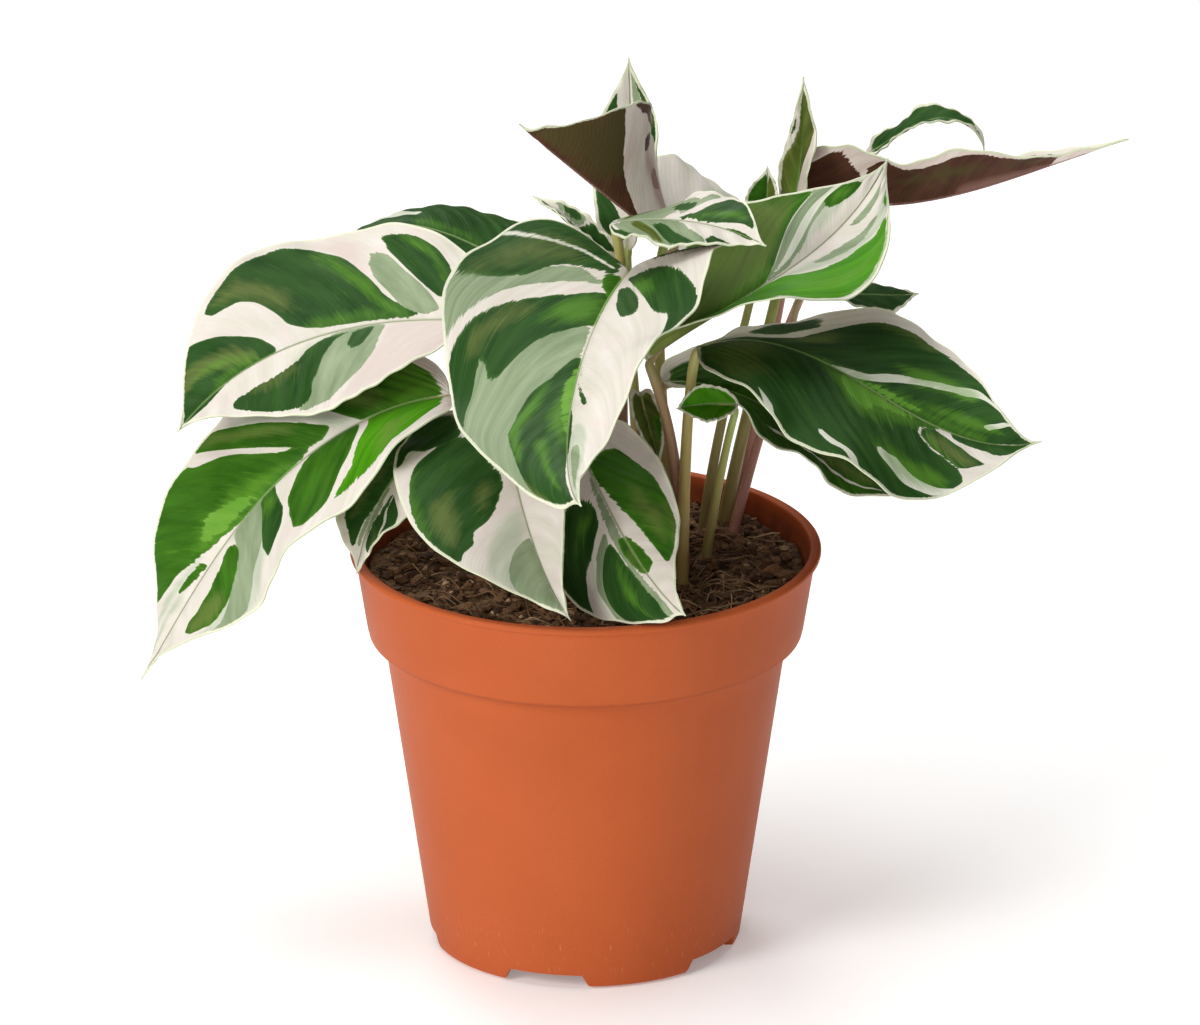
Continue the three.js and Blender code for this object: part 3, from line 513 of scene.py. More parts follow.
class Finish:
    """A material and the nodes that paint it."""

    def __init__(self, name, **constants):
        self.material = bpy.data.materials.new(name)
        self.material.use_nodes = True
        self.nodes = self.material.node_tree.nodes
        self.links = self.material.node_tree.links
        self.shader = self.nodes["Principled BSDF"]
        for socket, value in constants.items():
            self.shader.inputs[socket.replace("_", " ")].default_value = value

    def add(self, kind, settings=None, sockets=None, output=0):
        """One node: its type, its settings, then the values or wires of its sockets."""
        node = self.nodes.new("ShaderNode" + kind)
        for key, value in (settings or {}).items():
            setattr(node, key, value)
        for key, value in (sockets or {}).items():
            if isinstance(value, Wire):
                self.links.new(value.socket, node.inputs[key])
            else:
                node.inputs[key].default_value = value
        return Wire(self, node.outputs[output])

    def attribute(self, name):
        return self.add("Attribute", dict(attribute_name=name), output="Fac")

    def vector(self, x=0, y=0, z=0):
        return self.add("CombineXYZ", sockets={0: x, 1: y, 2: z})

    def cloud(self, scale, detail=2, roughness=0.5, where=None):
        """Soft noise from 0 to 1, at the object's own coordinates unless told where."""
        where = where or self.add("TexCoord", output="Object")
        sockets = dict(Vector=where, Scale=scale, Detail=detail, Roughness=roughness)
        return self.add("TexNoise", sockets=sockets)

    def lot(self, x, y):
        """A number from 0 to 1 that is the same wherever x and y are."""
        settings = dict(noise_dimensions="3D")
        return self.add("TexWhiteNoise", settings, dict(Vector=self.vector(x, y)))

    def blend(self, share, under, over):
        """over laid on under; colours are hex strings or wires."""
        under, over = [paint(c) if isinstance(c, str) else c for c in (under, over)]
        return self.add("Mix", dict(data_type="RGBA"), {0: share, 6: under, 7: over}, 2)

    def coats(self, colour, *coats):
        """The colour under coats of (share, colour), each laid on those before it."""
        for share, over in coats:
            colour = self.blend(share, colour, over)
        return colour

    def done(self, colour, roughness=None, height=None, strength=1.0):
        """The material with its colour, its roughness and a bump from a height in mm."""
        self.links.new(colour.socket, self.shader.inputs["Base Color"])
        if roughness:
            self.links.new(roughness.socket, self.shader.inputs["Roughness"])
        if height:
            sockets = dict(Height=height, Distance=MM, Strength=strength)
            bump = self.add("Bump", sockets=sockets)
            self.links.new(bump.socket, self.shader.inputs["Normal"])
        return self.material


def paint(code):
    """A hex colour as the shader's linear values."""
    parts = [int(code[i:i + 2], 16) / 255 for i in (1, 3, 5)]
    linear = [p / 12.92 if p <= 0.04045 else ((p + 0.055) / 1.055) ** 2.4 for p in parts]
    return (*linear, 1)


VEIN_GAP = 1.25                    # between side veins, in millimetres along the midrib
VEIN_WIDTH = 0.34                  # share of the gap that a vein's soft line takes
BROAD_STREAK, FINE_STREAK = 1.9, 0.6
STREAKS = dict(                    # noise drawn out by the veins: its size along the midrib and
    swell=(6, 15, 3, 0.55),        # across the blade, in millimetres, its detail and roughness
    streak=(1.1, 7, 3, 0.6),
    hair=(0.28, 3, 2, 0.5))
SHEEN = 0.09                       # specular level of a leaf
END_DRAW = 0.7                     # patches end more raggedly across the veins than along them
ROUNDING = 0.14                    # how much of each side the rounding of a corner takes
LONGEST_SIDE = 0.1                 # of a patch's outline, as a share of the leaf
FAR = 6.0                          # millimetres from a patch beyond which it has no effect
CREASE_SHADE = 1.2                       # reach of the painted shade where the pot's collar meets the body


def variegation(finish):
    """How much of each tone shows at a place, with edges that follow the side veins."""
    vein, out = finish.attribute("vein"), finish.attribute("out")
    across = abs(out)
    side = out.above(0) * 7 + 3    # sets the noise of the two halves apart
    drift = finish.cloud(150)
    swell, streak, hair = [
        finish.cloud(1, detail, roughness, finish.vector(vein / length, across / width, side))
        for length, width, detail, roughness in STREAKS.values()]
    broad = finish.lot((vein / BROAD_STREAK + drift * 2).floor(), side)
    fine = finish.lot((vein / FINE_STREAK).floor(), side + 20)
    toothed = finish.cloud(45).past(0.42, 5) * 0.75 + 0.25
    ragged = (broad - 0.5) * 0.26 + (fine - 0.5) * 0.18 + (streak - 0.5) * 2 + (hair - 0.5) * 0.3
    ragged = ragged * toothed
    teeth = (streak - 0.5) * 2.6 + (fine - 0.5) * 0.4 + (hair - 0.5) * 1.2 - 0.1
    tint = (streak - 0.5) * 5 + (drift - 0.5) * 4
    edges = dict(                  # what frays a tone's edge, its blur, share there and strength
        mist=(ragged * 2, 2.4, 0.4, 0.75),
        blush=(0, 3, 0.4, 1),
        comb=(teeth, 0.3, 0, 0.85),
        clear=(ragged * 0.35, 0.12, 0.5, 1),
        glow=(tint, 3.2, 0.35, 1),
        tan=(tint, 3.2, 0.35, 1))
    shows = {}
    for tone in TONES:
        fray, blur, share, strength = edges.get(tone, (ragged, 0.1, 0.5, 1))
        shows[tone] = ((finish.attribute(tone) + fray) / blur + share).clip() * strength
    greens = shows["dark"].highest(shows["green"]).highest(shows["bright"]).highest(shows["olive"])
    wander = (drift - 0.5) * 1.2
    swing = abs((vein / VEIN_GAP + wander).fraction() - 0.5) * 2
    return Facts(shows=shows, greens=greens, vein=vein, across=across, streak=streak, hair=hair,
                 swell=((swell - 0.5) * 3 + 0.5).clip(), ragged=ragged, drift=drift,
                 edge=finish.attribute("edge"), along=finish.attribute("along"),
                 line=(1 - swing / VEIN_WIDTH).clip())


def leaf_upper():
    """Patches of every tone on cream, side veins, a pale midrib with a painted shadow line down its
    middle, and a cream margin.
    """
    finish = Finish("leaf_upper", Specular_IOR_Level=SHEEN)
    parts = variegation(finish)
    shows, streak, greens, line = parts.shows, parts.streak, parts.greens, parts.line
    fleck = streak.past(0.6, 7)
    shadow = ((0.42 - streak) * 5).clip()
    colour = finish.coats(
        finish.blend(parts.swell, *PLAIN_SHADES),
        (parts.drift.past(0.5, 4) * 0.6, "#dccac6"),
        (shows["blush"] * 0.85, "#cfc0b9"),
        (fleck * 0.3, "#cdd2be"),
        (line * 0.08, "#b5bca2"))
    for tone, (usual, deep, pale) in TONE_SHADES.items():
        shade = finish.blend(parts.swell, usual, deep)
        shade = finish.coats(shade, (fleck * 0.32, pale), (shadow * 0.45, deep))
        if tone in ("dark", "green", "olive"):
            near = (1 - (finish.attribute(tone) + parts.ragged) / 0.5).clip()
            shade = finish.coats(shade, (near * 0.4, pale), (line * 0.08, "#16361a"))
        colour = finish.blend(shows[tone], colour, shade)
    rib = parts.across.within(0.62 - parts.along * 0.42, 0.2)
    shaded_groove = parts.across.within(0.15, 0.1)
    margin = (parts.edge - (streak - 0.5) * 0.9).within(0.7, 0.2)
    colour = finish.coats(
        colour,
        (shows["tan"] * greens * 0.42, "#7c8448"),
        (shows["glow"] * greens * 0.52, "#5f932c"),
        (rib * 0.75, finish.blend(greens, "#b9c0a0", "#86a960")),
        # painted shade: a darker line down the middle of the midrib, where it is sunk
        (shaded_groove * 0.5, "#5c6644"),
        (margin * 0.92, "#dfe0c8"))
    pleat = (parts.vein * (2 * math.pi / VEIN_GAP)).sine()
    body = (parts.across / 2).clip() * (parts.edge / 2.5).clip()
    height = pleat * body * 0.014 + parts.hair * 0.02 - shaded_groove * 0.25 - rib * 0.1 + streak * 0.08
    return finish.done(colour, 0.5 - parts.swell * 0.08 + line * 0.05, height, 0.8)


def leaf_under(name, dark, tint, ground):
    """The underside: pale between the patches, which show through from above."""
    finish = Finish(name, Specular_IOR_Level=SHEEN)
    parts = variegation(finish)
    shows, streak, line = parts.shows, parts.streak, parts.line
    tan = (shows["tan"] + parts.drift.past(0.5, 5) * 0.5).clip()
    patch = finish.coats(
        finish.blend(parts.swell, *dark),
        (tan * 0.8, tint),
        (streak.past(0.6, 6) * 0.2, "#7a5744"))
    rib = parts.across.within(0.7 - parts.along * 0.45, 0.3)
    margin = (parts.edge - (streak - 0.5) * 0.9).within(0.6, 0.2)
    colour = finish.coats(
        finish.blend(parts.swell, *ground),
        (shows["grey"] * 0.5, "#a89a88"),
        (parts.greens, patch),
        (shows["blush"] * 0.7, "#a98078"),
        (shows["clear"], "#d4c7bd"),
        (line * 0.1, "#8a6660"),
        (rib * 0.8, "#86625a"),
        (margin * 0.9, "#d6d8bd"))
    height = line * 0.05 + rib * 0.5 + parts.hair * 0.03
    return finish.done(colour, 0.48 + parts.swell * 0.1, height, 0.8)


def leaf_rim():
    """The cut thickness of a blade."""
    finish = Finish("leaf_rim", Roughness=0.5)
    return finish.done(finish.blend(finish.cloud(900, 3), "#dfe3c8", "#b9c79a"))


def stalk_finish(name, low, middle, high, joint):
    """A leaf stalk: colour from the soil up, lengthwise streaks, a joint under the blade."""
    finish = Finish(name, Specular_IOR_Level=0.4)
    rise, turn = finish.attribute("rise"), finish.attribute("turn")
    streak = finish.cloud(2.2, 3, where=finish.vector(turn * 3, rise * 2.5))
    fleck = finish.cloud(900)
    colour = finish.coats(
        finish.blend((rise * 2.2).clip(), low, middle),
        ((rise * 2 - 1).clip(), high),
        (rise.past(0.9, 20) * 0.85, joint),
        (streak.past(0.48, 5) * 0.5, low),
        (fleck.past(0.6, 6) * 0.35, high),
        ((1 - rise * 9).clip() * 0.7, "#3b2619"))
    return finish.done(colour, 0.42 + streak * 0.2, streak * 0.12 + fleck * 0.05)


def pot_plastic():
    """Moulded plastic: even, faintly grained, a few dry scuffs low down, painted shade under the
    collar and inside the pot.
    """
    finish = Finish("pot_plastic", Specular_IOR_Level=0.13)
    grain, broad = finish.cloud(1400, 3), finish.cloud(28, 3)
    height, inside = finish.attribute("height"), finish.attribute("inside")
    scratch = finish.cloud(6, where=finish.vector(finish.attribute("turn") * 9, height / 22))
    scuff = scratch.past(0.64, 12) * (1 - abs(height - 9) / 12).clip() * 0.3
    crease_shade = (1 - abs(height - (POT.height - POT.collar_height)) / CREASE_SHADE).clip()
    inside_shade_mottle = finish.cloud(160, 4).past(0.5, 4)
    colour = finish.coats(
        finish.blend(broad.past(0.4, 2), "#bd5c30", "#b3552a"),
        (grain.past(0.45, 3) * 0.2, "#a54b26"),
        (scuff, "#e2a481"),
        # painted shade: a dark band where the collar meets the body
        (crease_shade * 0.5, "#6f2f16"),
        # painted shade inside the pot and under its floor, mottled, and deeper from the rim down
        (inside * (0.6 + inside_shade_mottle * 0.3), "#7c3f2b"),
        (inside * inside_shade_mottle * ((105 - height) / 8).clip() * 0.5, "#40261a"))
    relief = grain * 0.02 + (height * 2.4).sine() * 0.004 + scuff * 0.05
    return finish.done(colour, 0.46 + broad * 0.1 + scuff * 0.3, relief, 0.8)


def potting_soil():
    """Dark, damp, crumbly peat."""
    finish = Finish("potting_soil", Specular_IOR_Level=0.25)
    crumb, grain = finish.cloud(420, 6, 0.7), finish.cloud(1500, 4, 0.7)
    colour = finish.coats(
        finish.blend(crumb.past(0.42, 5), "#3a2415", "#96744f"),
        (grain.past(0.52, 6) * 0.7, "#a3805a"),
        (finish.cloud(90, 3).past(0.5, 4) * 0.4, "#4a301f"),
        (grain.past(0.66, 14) * 0.8, "#c5a57c"))
    return finish.done(colour, 0.75 + grain * 0.2, crumb * 1.1 + grain * 0.4)


def soil_bits(name, light, dark):
    """Fibre, bark and crumbs, each bit with its own shade."""
    finish = Finish(name, Specular_IOR_Level=0.25, Roughness=0.8)
    grain = finish.cloud(1600, 3)
    colour = finish.blend(finish.attribute("shade"), dark, light)
    colour = finish.blend(grain.past(0.45, 4) * 0.5, colour, dark)
    return finish.done(colour, height=grain * 0.15)


def floor_paint():
    """White, a little lit from within, so that the floor runs on into the background."""
    finish = Finish("studio_floor", Roughness=0.7, Specular_IOR_Level=0.2,
                    Emission_Color=(*WHITE, 1), Emission_Strength=0.22)
    return finish.done(finish.blend(finish.cloud(3, 3), "#fdfdfc", "#fafaf9"))


# ---- meshes


def linked(name, data):
    """An object of the mesh, lamp or camera, in the scene."""
    made = bpy.data.objects.new(name, data)
    bpy.context.collection.objects.link(made)
    return made


def meshed(name, bm):
    """A mesh object with the shape that is in the bmesh, which is used up."""
    mesh = bpy.data.meshes.new(name)
    bm.to_mesh(mesh)
    bm.free()
    return linked(name, mesh)


def finished(name, bm, materials, node=None, smooth=True):
    bmesh.ops.transform(bm, verts=bm.verts, matrix=Matrix.Translation(AXIS) @ Matrix.Scale(MM, 4))
    piece = meshed(name, bm)
    for material in materials:
        piece.data.materials.append(material)
    piece.data.polygons.foreach_set("use_smooth", [smooth] * len(piece.data.polygons))
    if node:
        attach(piece, "root")
        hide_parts(node)
    return piece


def sharpen(bm, angle):
    """Edges that turn by more than the angle shade as corners."""
    for edge in bm.edges:
        edge.smooth = not (edge.is_manifold and edge.calc_face_angle(0) > math.radians(angle))


def drawn_out(bm, edges):
    """The new ends of the edges, drawn out to a new row of faces."""
    drawn = bmesh.ops.extrude_edge_only(bm, edges=edges)["geom"]
    return ([item for item in drawn if isinstance(item, bmesh.types.BMVert)],
            [item for item in drawn if isinstance(item, bmesh.types.BMEdge)])


# ---- leaf blades


def outline(shape, along):
    """The blade's half width there, as a share of its widest."""
    widest, full = shape
    return np.maximum(np.sin(np.pi * along ** widest), 0) ** (full + along ** 2)


def on_path(at, marks, path):
    """Places on a path of points, at each of which stands a mark."""
    return np.stack([np.interp(at, marks, path[:, axis]) for axis in range(3)], 1)


def midrib(leaf, along):
    """Place, direction, side and upward axis of the midrib, as arrays."""
    steps = np.linspace(0, 1, BLADE.spine_steps + 1)
    middles = (steps[1:] + steps[:-1]) / 2
    runs = directions(leaf, middles)[0] * leaf.length / BLADE.spine_steps
    path = np.vstack([np.zeros(3), np.cumsum(runs, axis=0)]) + np.array(leaf.base)
    return (on_path(along, steps, path), *directions(leaf, along))


def directions(leaf, along):
    """Directions on the midrib: forward, to its left and up."""
    first, middle, last = leaf.pitch
    heading = np.radians(np.interp(along, (0, 1), leaf.heading))
    curve = (2 * along - 1) * (along - 1) * first + 4 * along * (1 - along) * middle
    pitch = np.radians(curve + along * (2 * along - 1) * last)
    roll = np.radians(np.interp(along, (0, 1), leaf.roll))[:, None]
    forward = np.stack([np.cos(pitch) * np.cos(heading), np.cos(pitch) * np.sin(heading),
                        np.sin(pitch)], 1)
    level = np.stack([-np.sin(heading), np.cos(heading), np.zeros_like(along)], 1)
    over = np.cross(forward, level)
    side = level * np.cos(roll) + over * np.sin(roll)
    return forward, side, over * np.cos(roll) - level * np.sin(roll)


def for_half(left, pair):
    """The value of the half on which each point lies."""
    return np.where(left, pair[0], pair[1])


def vein_start(rises, left, out, along):
    """Where on the midrib the side vein through a place begins."""
    climb = for_half(left, rises) * out ** BLADE.vein_bend
    return (along - climb) / (1 - climb)


def blade_places(leaf, across, along, rises):
    """Points of the blade's middle surface, and the distances that its colours follow."""
    place, forward, side, up = midrib(leaf, along)
    left, out = across > 0, np.abs(across)
    full = outline(leaf.shape, along)
    width = for_half(left, leaf.width) * full
    ease = np.minimum(1, width / BLADE.fold_ease)
    folds = [base + (tip - base) * along for base, tip in (leaf.fold_left, leaf.fold_right)]
    curl = for_half(left, leaf.curl) * out / 2
    lift = np.radians((for_half(left, folds) + curl) * ease)
    beat = np.sin(2 * np.pi * (BLADE.waves * along + for_half(left, leaf.phase)))
    wave = for_half(left, leaf.wave) * out ** 2 * beat * np.sqrt(np.sin(np.pi * along).clip(0))
    back = leaf.lobe * out * full * (1 - along) ** 2
    start = vein_start(rises, left, out, along) * leaf.length
    seed = len(leaf.name) * 1.7 + leaf.length    # sets the leaves' ruffles apart
    fast, slow = BLADE.ruffle_waves
    ruffle = (BLADE.ruffle * out ** 4 * np.sin(along * fast + seed + left * 2)
              * np.sin(along * slow + seed))
    quilt = (BLADE.quilt * np.sin(start * 2 * np.pi / BLADE.quilt_pitch)
             * np.minimum(1, 4 * out * (1 - out)))
    dip = -BLADE.rib_depth * np.exp(-(width * out / BLADE.rib_width) ** 2)
    height = width * out * np.sin(lift) + wave + (ruffle + quilt + dip) * ease
    reach = np.sign(across) * width * out * np.cos(lift)
    points = place + side * reach[:, None] + up * height[:, None] - forward * back[:, None]
    return points, dict(out=np.sign(across) * width * out, edge=width * (1 - out), vein=start,
                        along=along)


def sides_of(corners):
    """The two ends of each side of an outline."""
    return zip(corners, corners[1:] + corners[:1])


def from_edge(corners, x, y):
    """Signed distance to a patch's outline: above 0 inside it."""
    nearest = np.full(x.shape, 1e9)
    inside = np.zeros(x.shape, bool)
    for (ax, ay), (bx, by) in sides_of(corners):
        dx, dy = bx - ax, by - ay
        share = (((x - ax) * dx + (y - ay) * dy) / (dx * dx + dy * dy + 1e-9)).clip(0, 1)
        nearest = np.minimum(nearest, np.hypot(x - ax - share * dx, y - ay - share * dy))
        crosses = (ay > y) != (by > y)
        inside ^= crosses & (x < ax + (y - ay) * dx / (dy if dy else 1e-9))
    return np.where(inside, nearest, -nearest)


def rounded(corners):
    """Corners cut off and long sides divided, so that a patch's outline bends with the leaf."""
    made = []
    kept = 1 - 2 * ROUNDING
    for (ax, ay), (bx, by) in sides_of(corners):
        pieces = max(1, round(math.hypot(bx - ax, by - ay) * kept / LONGEST_SIDE))
        for step in range(pieces + 1):
            share = ROUNDING + kept * step / pieces
            made.append((ax + (bx - ax) * share, ay + (by - ay) * share))
    return made


def patch_corners(leaf, rises, half, percents):
    """A patch's outline in millimetres: out from the midrib, and along it by the veins."""
    left = half == "L"
    corners = []
    for out, along in rounded([(out / 100, along / 100) for out, along in percents]):
        start = float(vein_start(rises, left, out, along))
        corners.append((from_rib(leaf, left, out), start * leaf.length))
    return corners


def from_rib(leaf, left, out):
    """How far out a place lies on the leaf's widest line, shortened to draw out the ends."""
    return for_half(left, (1, -1)) * for_half(left, leaf.width) * out * END_DRAW


def tone_reaches(leaf, across, vein, rises, patches):
    """For every tone, how far inside its nearest patch each point lies."""
    reaches = {tone: np.full(vein.shape, -FAR) for tone in TONES}
    x, y = from_rib(leaf, across > 0, np.abs(across)), vein
    for tone, half, percents in patches:
        corners = patch_corners(leaf, rises, half, percents)
        low, high = np.min(corners, axis=0) - FAR, np.max(corners, axis=0) + FAR
        near = (x > low[0]) & (x < high[0]) & (y > low[1]) & (y < high[1])
        reach = from_edge(corners, x[near], y[near])
        reaches[tone][near] = np.maximum(reaches[tone][near], reach)
    return reaches


def blade(leaf, materials, rises, patches):
    """A leaf blade: a grid laid on the leaf's form, then given its thickness."""
    columns, rows = BLADE.large_grid if leaf.length > BLADE.large else BLADE.grid
    bm = bmesh.new()
    bmesh.ops.create_grid(bm, x_segments=columns, y_segments=rows, size=1)
    grid = np.array([vert.co[:2] for vert in bm.verts])
    across = -np.round(grid[:, 0], 6)
    along = (1 - np.cos(np.pi * (grid[:, 1].clip(-1, 1) + 1) / 2)) / 2
    points, facts = blade_places(leaf, across, along, rises)
    facts.update(tone_reaches(leaf, across, facts["vein"], rises, patches))
    layers = {name: bm.verts.layers.float.new(name) for name in facts}
    for index, vert in enumerate(bm.verts):
        vert.co = points[index]
        for name, layer in layers.items():
            vert[layer] = facts[name][index]
    ends = [vert for vert in bm.verts if vert.is_boundary]
    bmesh.ops.remove_doubles(bm, verts=ends, dist=1e-4)
    for edge in bm.edges:
        edge.smooth = not edge.is_boundary
    piece = finished("blade_" + leaf.name, bm, materials, "leaf_" + leaf.name)
    skin = piece.modifiers.new("thickness", "SOLIDIFY")
    skin.thickness = BLADE.thickness * MM
    skin.offset = 0
    skin.material_offset, skin.material_offset_rim = 1, 2


# ---- leaf stalks


def stalk_path(leaf, thin_end, steps):
    """Centres and directions along the stalk and its neck under the midrib, evenly spaced."""
    arrive = Vector(leaf.meet).normalized()
    top = Vector(leaf.base) - arrive * leaf.seat
    foot = Vector((*leaf.foot, STALK.start))
    height = top.z - foot.z
    knee = foot + Vector((*leaf.lean, 1)) * height * leaf.bend[0]
    neck = top - arrive * height * leaf.bend[1]
    stem = [foot * (1 - t) ** 3 + knee * 3 * (1 - t) ** 2 * t + neck * 3 * (1 - t) * t * t
            + top * t ** 3 for t in np.linspace(0, 1, STALK.samples)]
    ran = np.linspace(0, 1, NECK.samples)[1:]
    place, _, _, up = midrib(leaf, ran * NECK.length / leaf.length)
    under = place - up * (thin_end * (1 - ran[:, None] * NECK.taper))
    path = np.vstack([np.array(stem), under])
    lengths = np.concatenate([[0], np.cumsum(np.linalg.norm(np.diff(path, axis=0), axis=1))])
    joint = lengths[len(stem) - 1]
    marks = np.linspace(0, lengths[-1], steps + 1)
    ease = NECK.turn * np.exp(-((marks - joint) / (2 * NECK.turn)) ** 2)
    near = [on_path(marks + share * ease, lengths, path) for share in (-1, -0.5, 0, 0.5, 1)]
    centres = [Vector(centre) for centre in sum(near) / len(near)]
    headings = [(centres[min(i + 1, steps)] - centres[max(i - 1, 0)]).normalized()
                for i in range(steps + 1)]
    return centres, headings, [float(share) for share in marks / joint], float(joint)


def stalk_radius(radii, rise, length):
    """Tapers upwards, flares into a sheath at the soil and swells a little under the blade."""
    radius = radii[0] + (radii[1] - radii[0]) * min(rise, 1)
    below = length * (1 - rise)
    sheath = STALK.sheath * math.exp(-rise * length / STALK.sheath_height)
    joint = STALK.joint * math.exp(-((below - STALK.joint_below) / STALK.joint_height) ** 2)
    beyond = max(0, rise - 1) * length / NECK.length
    return radius * (1 + sheath + joint) * (1 - NECK.taper * beyond)


def stalk(leaf, material):
    """A leaf stalk: one ring of edges drawn out along its path."""
    radii = getattr(STALK, leaf.stalk)
    centres, headings, rises, length = stalk_path(leaf, radii[1], STALK.steps)
    bm = bmesh.new()
    rise_layer = bm.verts.layers.float.new("rise")
    turn_layer = bm.verts.layers.float.new("turn")
    ring = bmesh.ops.create_circle(bm, segments=STALK.sides, radius=1)["verts"]
    facing = UP.rotation_difference(headings[0]).to_matrix()
    radius = stalk_radius(radii, 0, length)
    for i, vert in enumerate(ring):
        vert[turn_layer] = abs(i / STALK.sides * 2 - 1)
        vert.co = centres[0] + facing @ vert.co * radius
    edges = list(bm.edges)
    bmesh.ops.contextual_create(bm, geom=edges)
    for step in range(1, STALK.steps + 1):
        ring, edges = drawn_out(bm, edges)
        swing = headings[step - 1].rotation_difference(headings[step]).to_matrix()
        size = stalk_radius(radii, rises[step], length) / radius
        radius *= size
        for vert in ring:
            vert.co = centres[step] + swing @ (vert.co - centres[step - 1]) * size
            vert[rise_layer] = rises[step]
    bmesh.ops.contextual_create(bm, geom=edges)
    bmesh.ops.recalc_face_normals(bm, faces=bm.faces)
    sharpen(bm, STALK.corner_angle)
    finished("stalk_" + leaf.name, bm, [material], "petiole_" + leaf.name)


# ---- pot


def arc(x, y, radius, start, stop, steps=5):
    """Profile points round a corner about the middle x, y, angles in degrees."""
    angles = [math.radians(start + (stop - start) * i / steps) for i in range(steps + 1)]
    return [(x + radius * math.cos(a), y + radius * math.sin(a)) for a in angles]


def between(low, high, shares):
    """Profile points on the straight line from low to high."""
    return [(low[0] + (high[0] - low[0]) * s, low[1] + (high[1] - low[1]) * s) for s in shares]


def pot_profile():
    """Half the pot's section, from the middle of its underside round to the middle inside."""
    p, top, wall, floor, turn = POT, POT.height, POT.wall, POT.floor, POT.foot_round
    shoulder, lip_low = top - p.collar_height, top - p.lip_height
    low, ledge = floor + wall, shoulder + wall
    collar_in, body_in, foot_in = p.collar_low - wall, p.body_top - wall, p.body_low - wall
    return [
        (0, floor), (p.foot_inner - 1, floor),
        *arc(p.foot_inner - 0.6, floor - 0.6, 0.6, 90, 0, 3),
        (p.foot_inner, 0.3), (p.foot_inner + 0.3, 0), (p.foot - 0.3, 0), (p.foot, 0.15),
        (p.body_low - 0.55, 0.7), (p.body_low - 0.15, 1.6),
        (p.body_low, turn), (p.body_low + 0.15, turn + 1),
        *between((p.body_low, turn), (p.body_top, shoulder), (0.1, 0.3, 0.5, 0.7, 0.9)),
        (p.body_top, shoulder - 0.5),
        (p.body_top + 0.15, shoulder - 0.1), (p.body_top + 0.6, shoulder),
        *arc(p.collar_low - 0.9, shoulder + 0.9, 0.9, -90, 0),
        *between((p.collar_low, shoulder), (p.collar_top, lip_low), (0.1, 0.35, 0.65, 0.9)),
        (p.collar_top, lip_low - 0.4), (p.collar_top + 0.3, lip_low - 0.15),
        *arc(p.lip - 0.4, lip_low + 0.4, 0.4, -90, 0, 3),
        *arc(p.lip - 0.8, top - 0.8, 0.8, 0, 90),
        *arc(p.collar_top - wall + 0.7, top - 0.7, 0.7, 90, 180),
        *between((collar_in, ledge), (p.collar_top - wall, top - 1), (0.9, 0.6, 0.3, 0.04)),
        (collar_in - 0.3, ledge), (body_in + 0.3, ledge), (body_in, ledge - 0.5),
        (foot_in, low + 0.8), (foot_in - 0.8, low), (0, low),
    ]


def spun(profile, steps):
    """A profile of (radius, height) points spun right round."""
    bm = bmesh.new()
    verts = [bm.verts.new((radius, 0, height)) for radius, height in profile]
    edges = [bm.edges.new(pair) for pair in zip(verts, verts[1:])]
    bmesh.ops.spin(bm, geom=verts + edges, cent=(0, 0, 0), axis=UP, angle=2 * math.pi,
                   steps=steps, use_merge=True)
    bmesh.ops.remove_doubles(bm, verts=bm.verts, dist=1e-3)
    bmesh.ops.recalc_face_normals(bm, faces=bm.faces)
    return bm


def foot_cutters():
    """Wedges for the notches in the foot and rods for the drain holes."""
    bm = bmesh.new()
    for i in range(NOTCH.count):
        turn = Matrix.Rotation(math.radians(NOTCH.first + 360 / NOTCH.count * i), 4, "Z")
        bar = bmesh.ops.create_cube(bm, size=2)["verts"]
        for vert in bar:
            low = vert.co.z < 0
            half = NOTCH.width / 2 + 0.5 if low else NOTCH.top_width / 2
            vert.co = (math.copysign(half, vert.co.x), -POT.foot + NOTCH.reach * vert.co.y,
                       -1 if low else NOTCH.height)
        bmesh.ops.transform(bm, matrix=turn, verts=bar)
        rod = bmesh.ops.create_cone(bm, cap_ends=True, segments=DRAIN.sides, depth=DRAIN.depth,
                                    radius1=DRAIN.radius, radius2=DRAIN.radius)["verts"]
        bmesh.ops.transform(bm, verts=rod,
                            matrix=turn @ Matrix.Translation((0, -DRAIN.ring, POT.floor)))
    return bm


def cut(bm, cutters):
    """The mesh with the cutters taken out of it."""
    body, tool = meshed("uncut", bm), meshed("cutter", cutters)
    knife = body.modifiers.new("cut", "BOOLEAN")
    knife.operation, knife.object, knife.solver = "DIFFERENCE", tool, "EXACT"
    bpy.context.view_layer.update()
    shown = body.evaluated_get(bpy.context.evaluated_depsgraph_get())
    left = bmesh.new()
    left.from_mesh(shown.to_mesh())
    shown.to_mesh_clear()
    for used in (body, tool):
        mesh = used.data
        bpy.data.objects.remove(used)
        bpy.data.meshes.remove(mesh)
    return left


def pot(material):
    """The moulded pot, with its height, its inside and its turn noted for the plastic."""
    bm = cut(spun(pot_profile(), POT.steps), foot_cutters())
    bmesh.ops.remove_doubles(bm, verts=bm.verts, dist=1e-3)
    layers = {name: bm.verts.layers.float.new(name) for name in ("height", "inside", "turn")}
    bm.normal_update()
    for vert in bm.verts:
        x, y, z = vert.co
        radius = math.hypot(x, y)
        faces_in = vert.normal.x * x + vert.normal.y * y < 0
        below_lip = z < POT.height - 1.2 and radius < POT.collar_top - 1
        on_floor = radius < POT.body_low - 3
        vert[layers["height"]] = z
        vert[layers["inside"]] = 1.0 if faces_in and below_lip or on_floor else 0.0
        vert[layers["turn"]] = abs(math.atan2(x, -y))
    sharpen(bm, POT.corner_angle)
    finished("nursery_pot", bm, [material], "pot")


# ---- soil


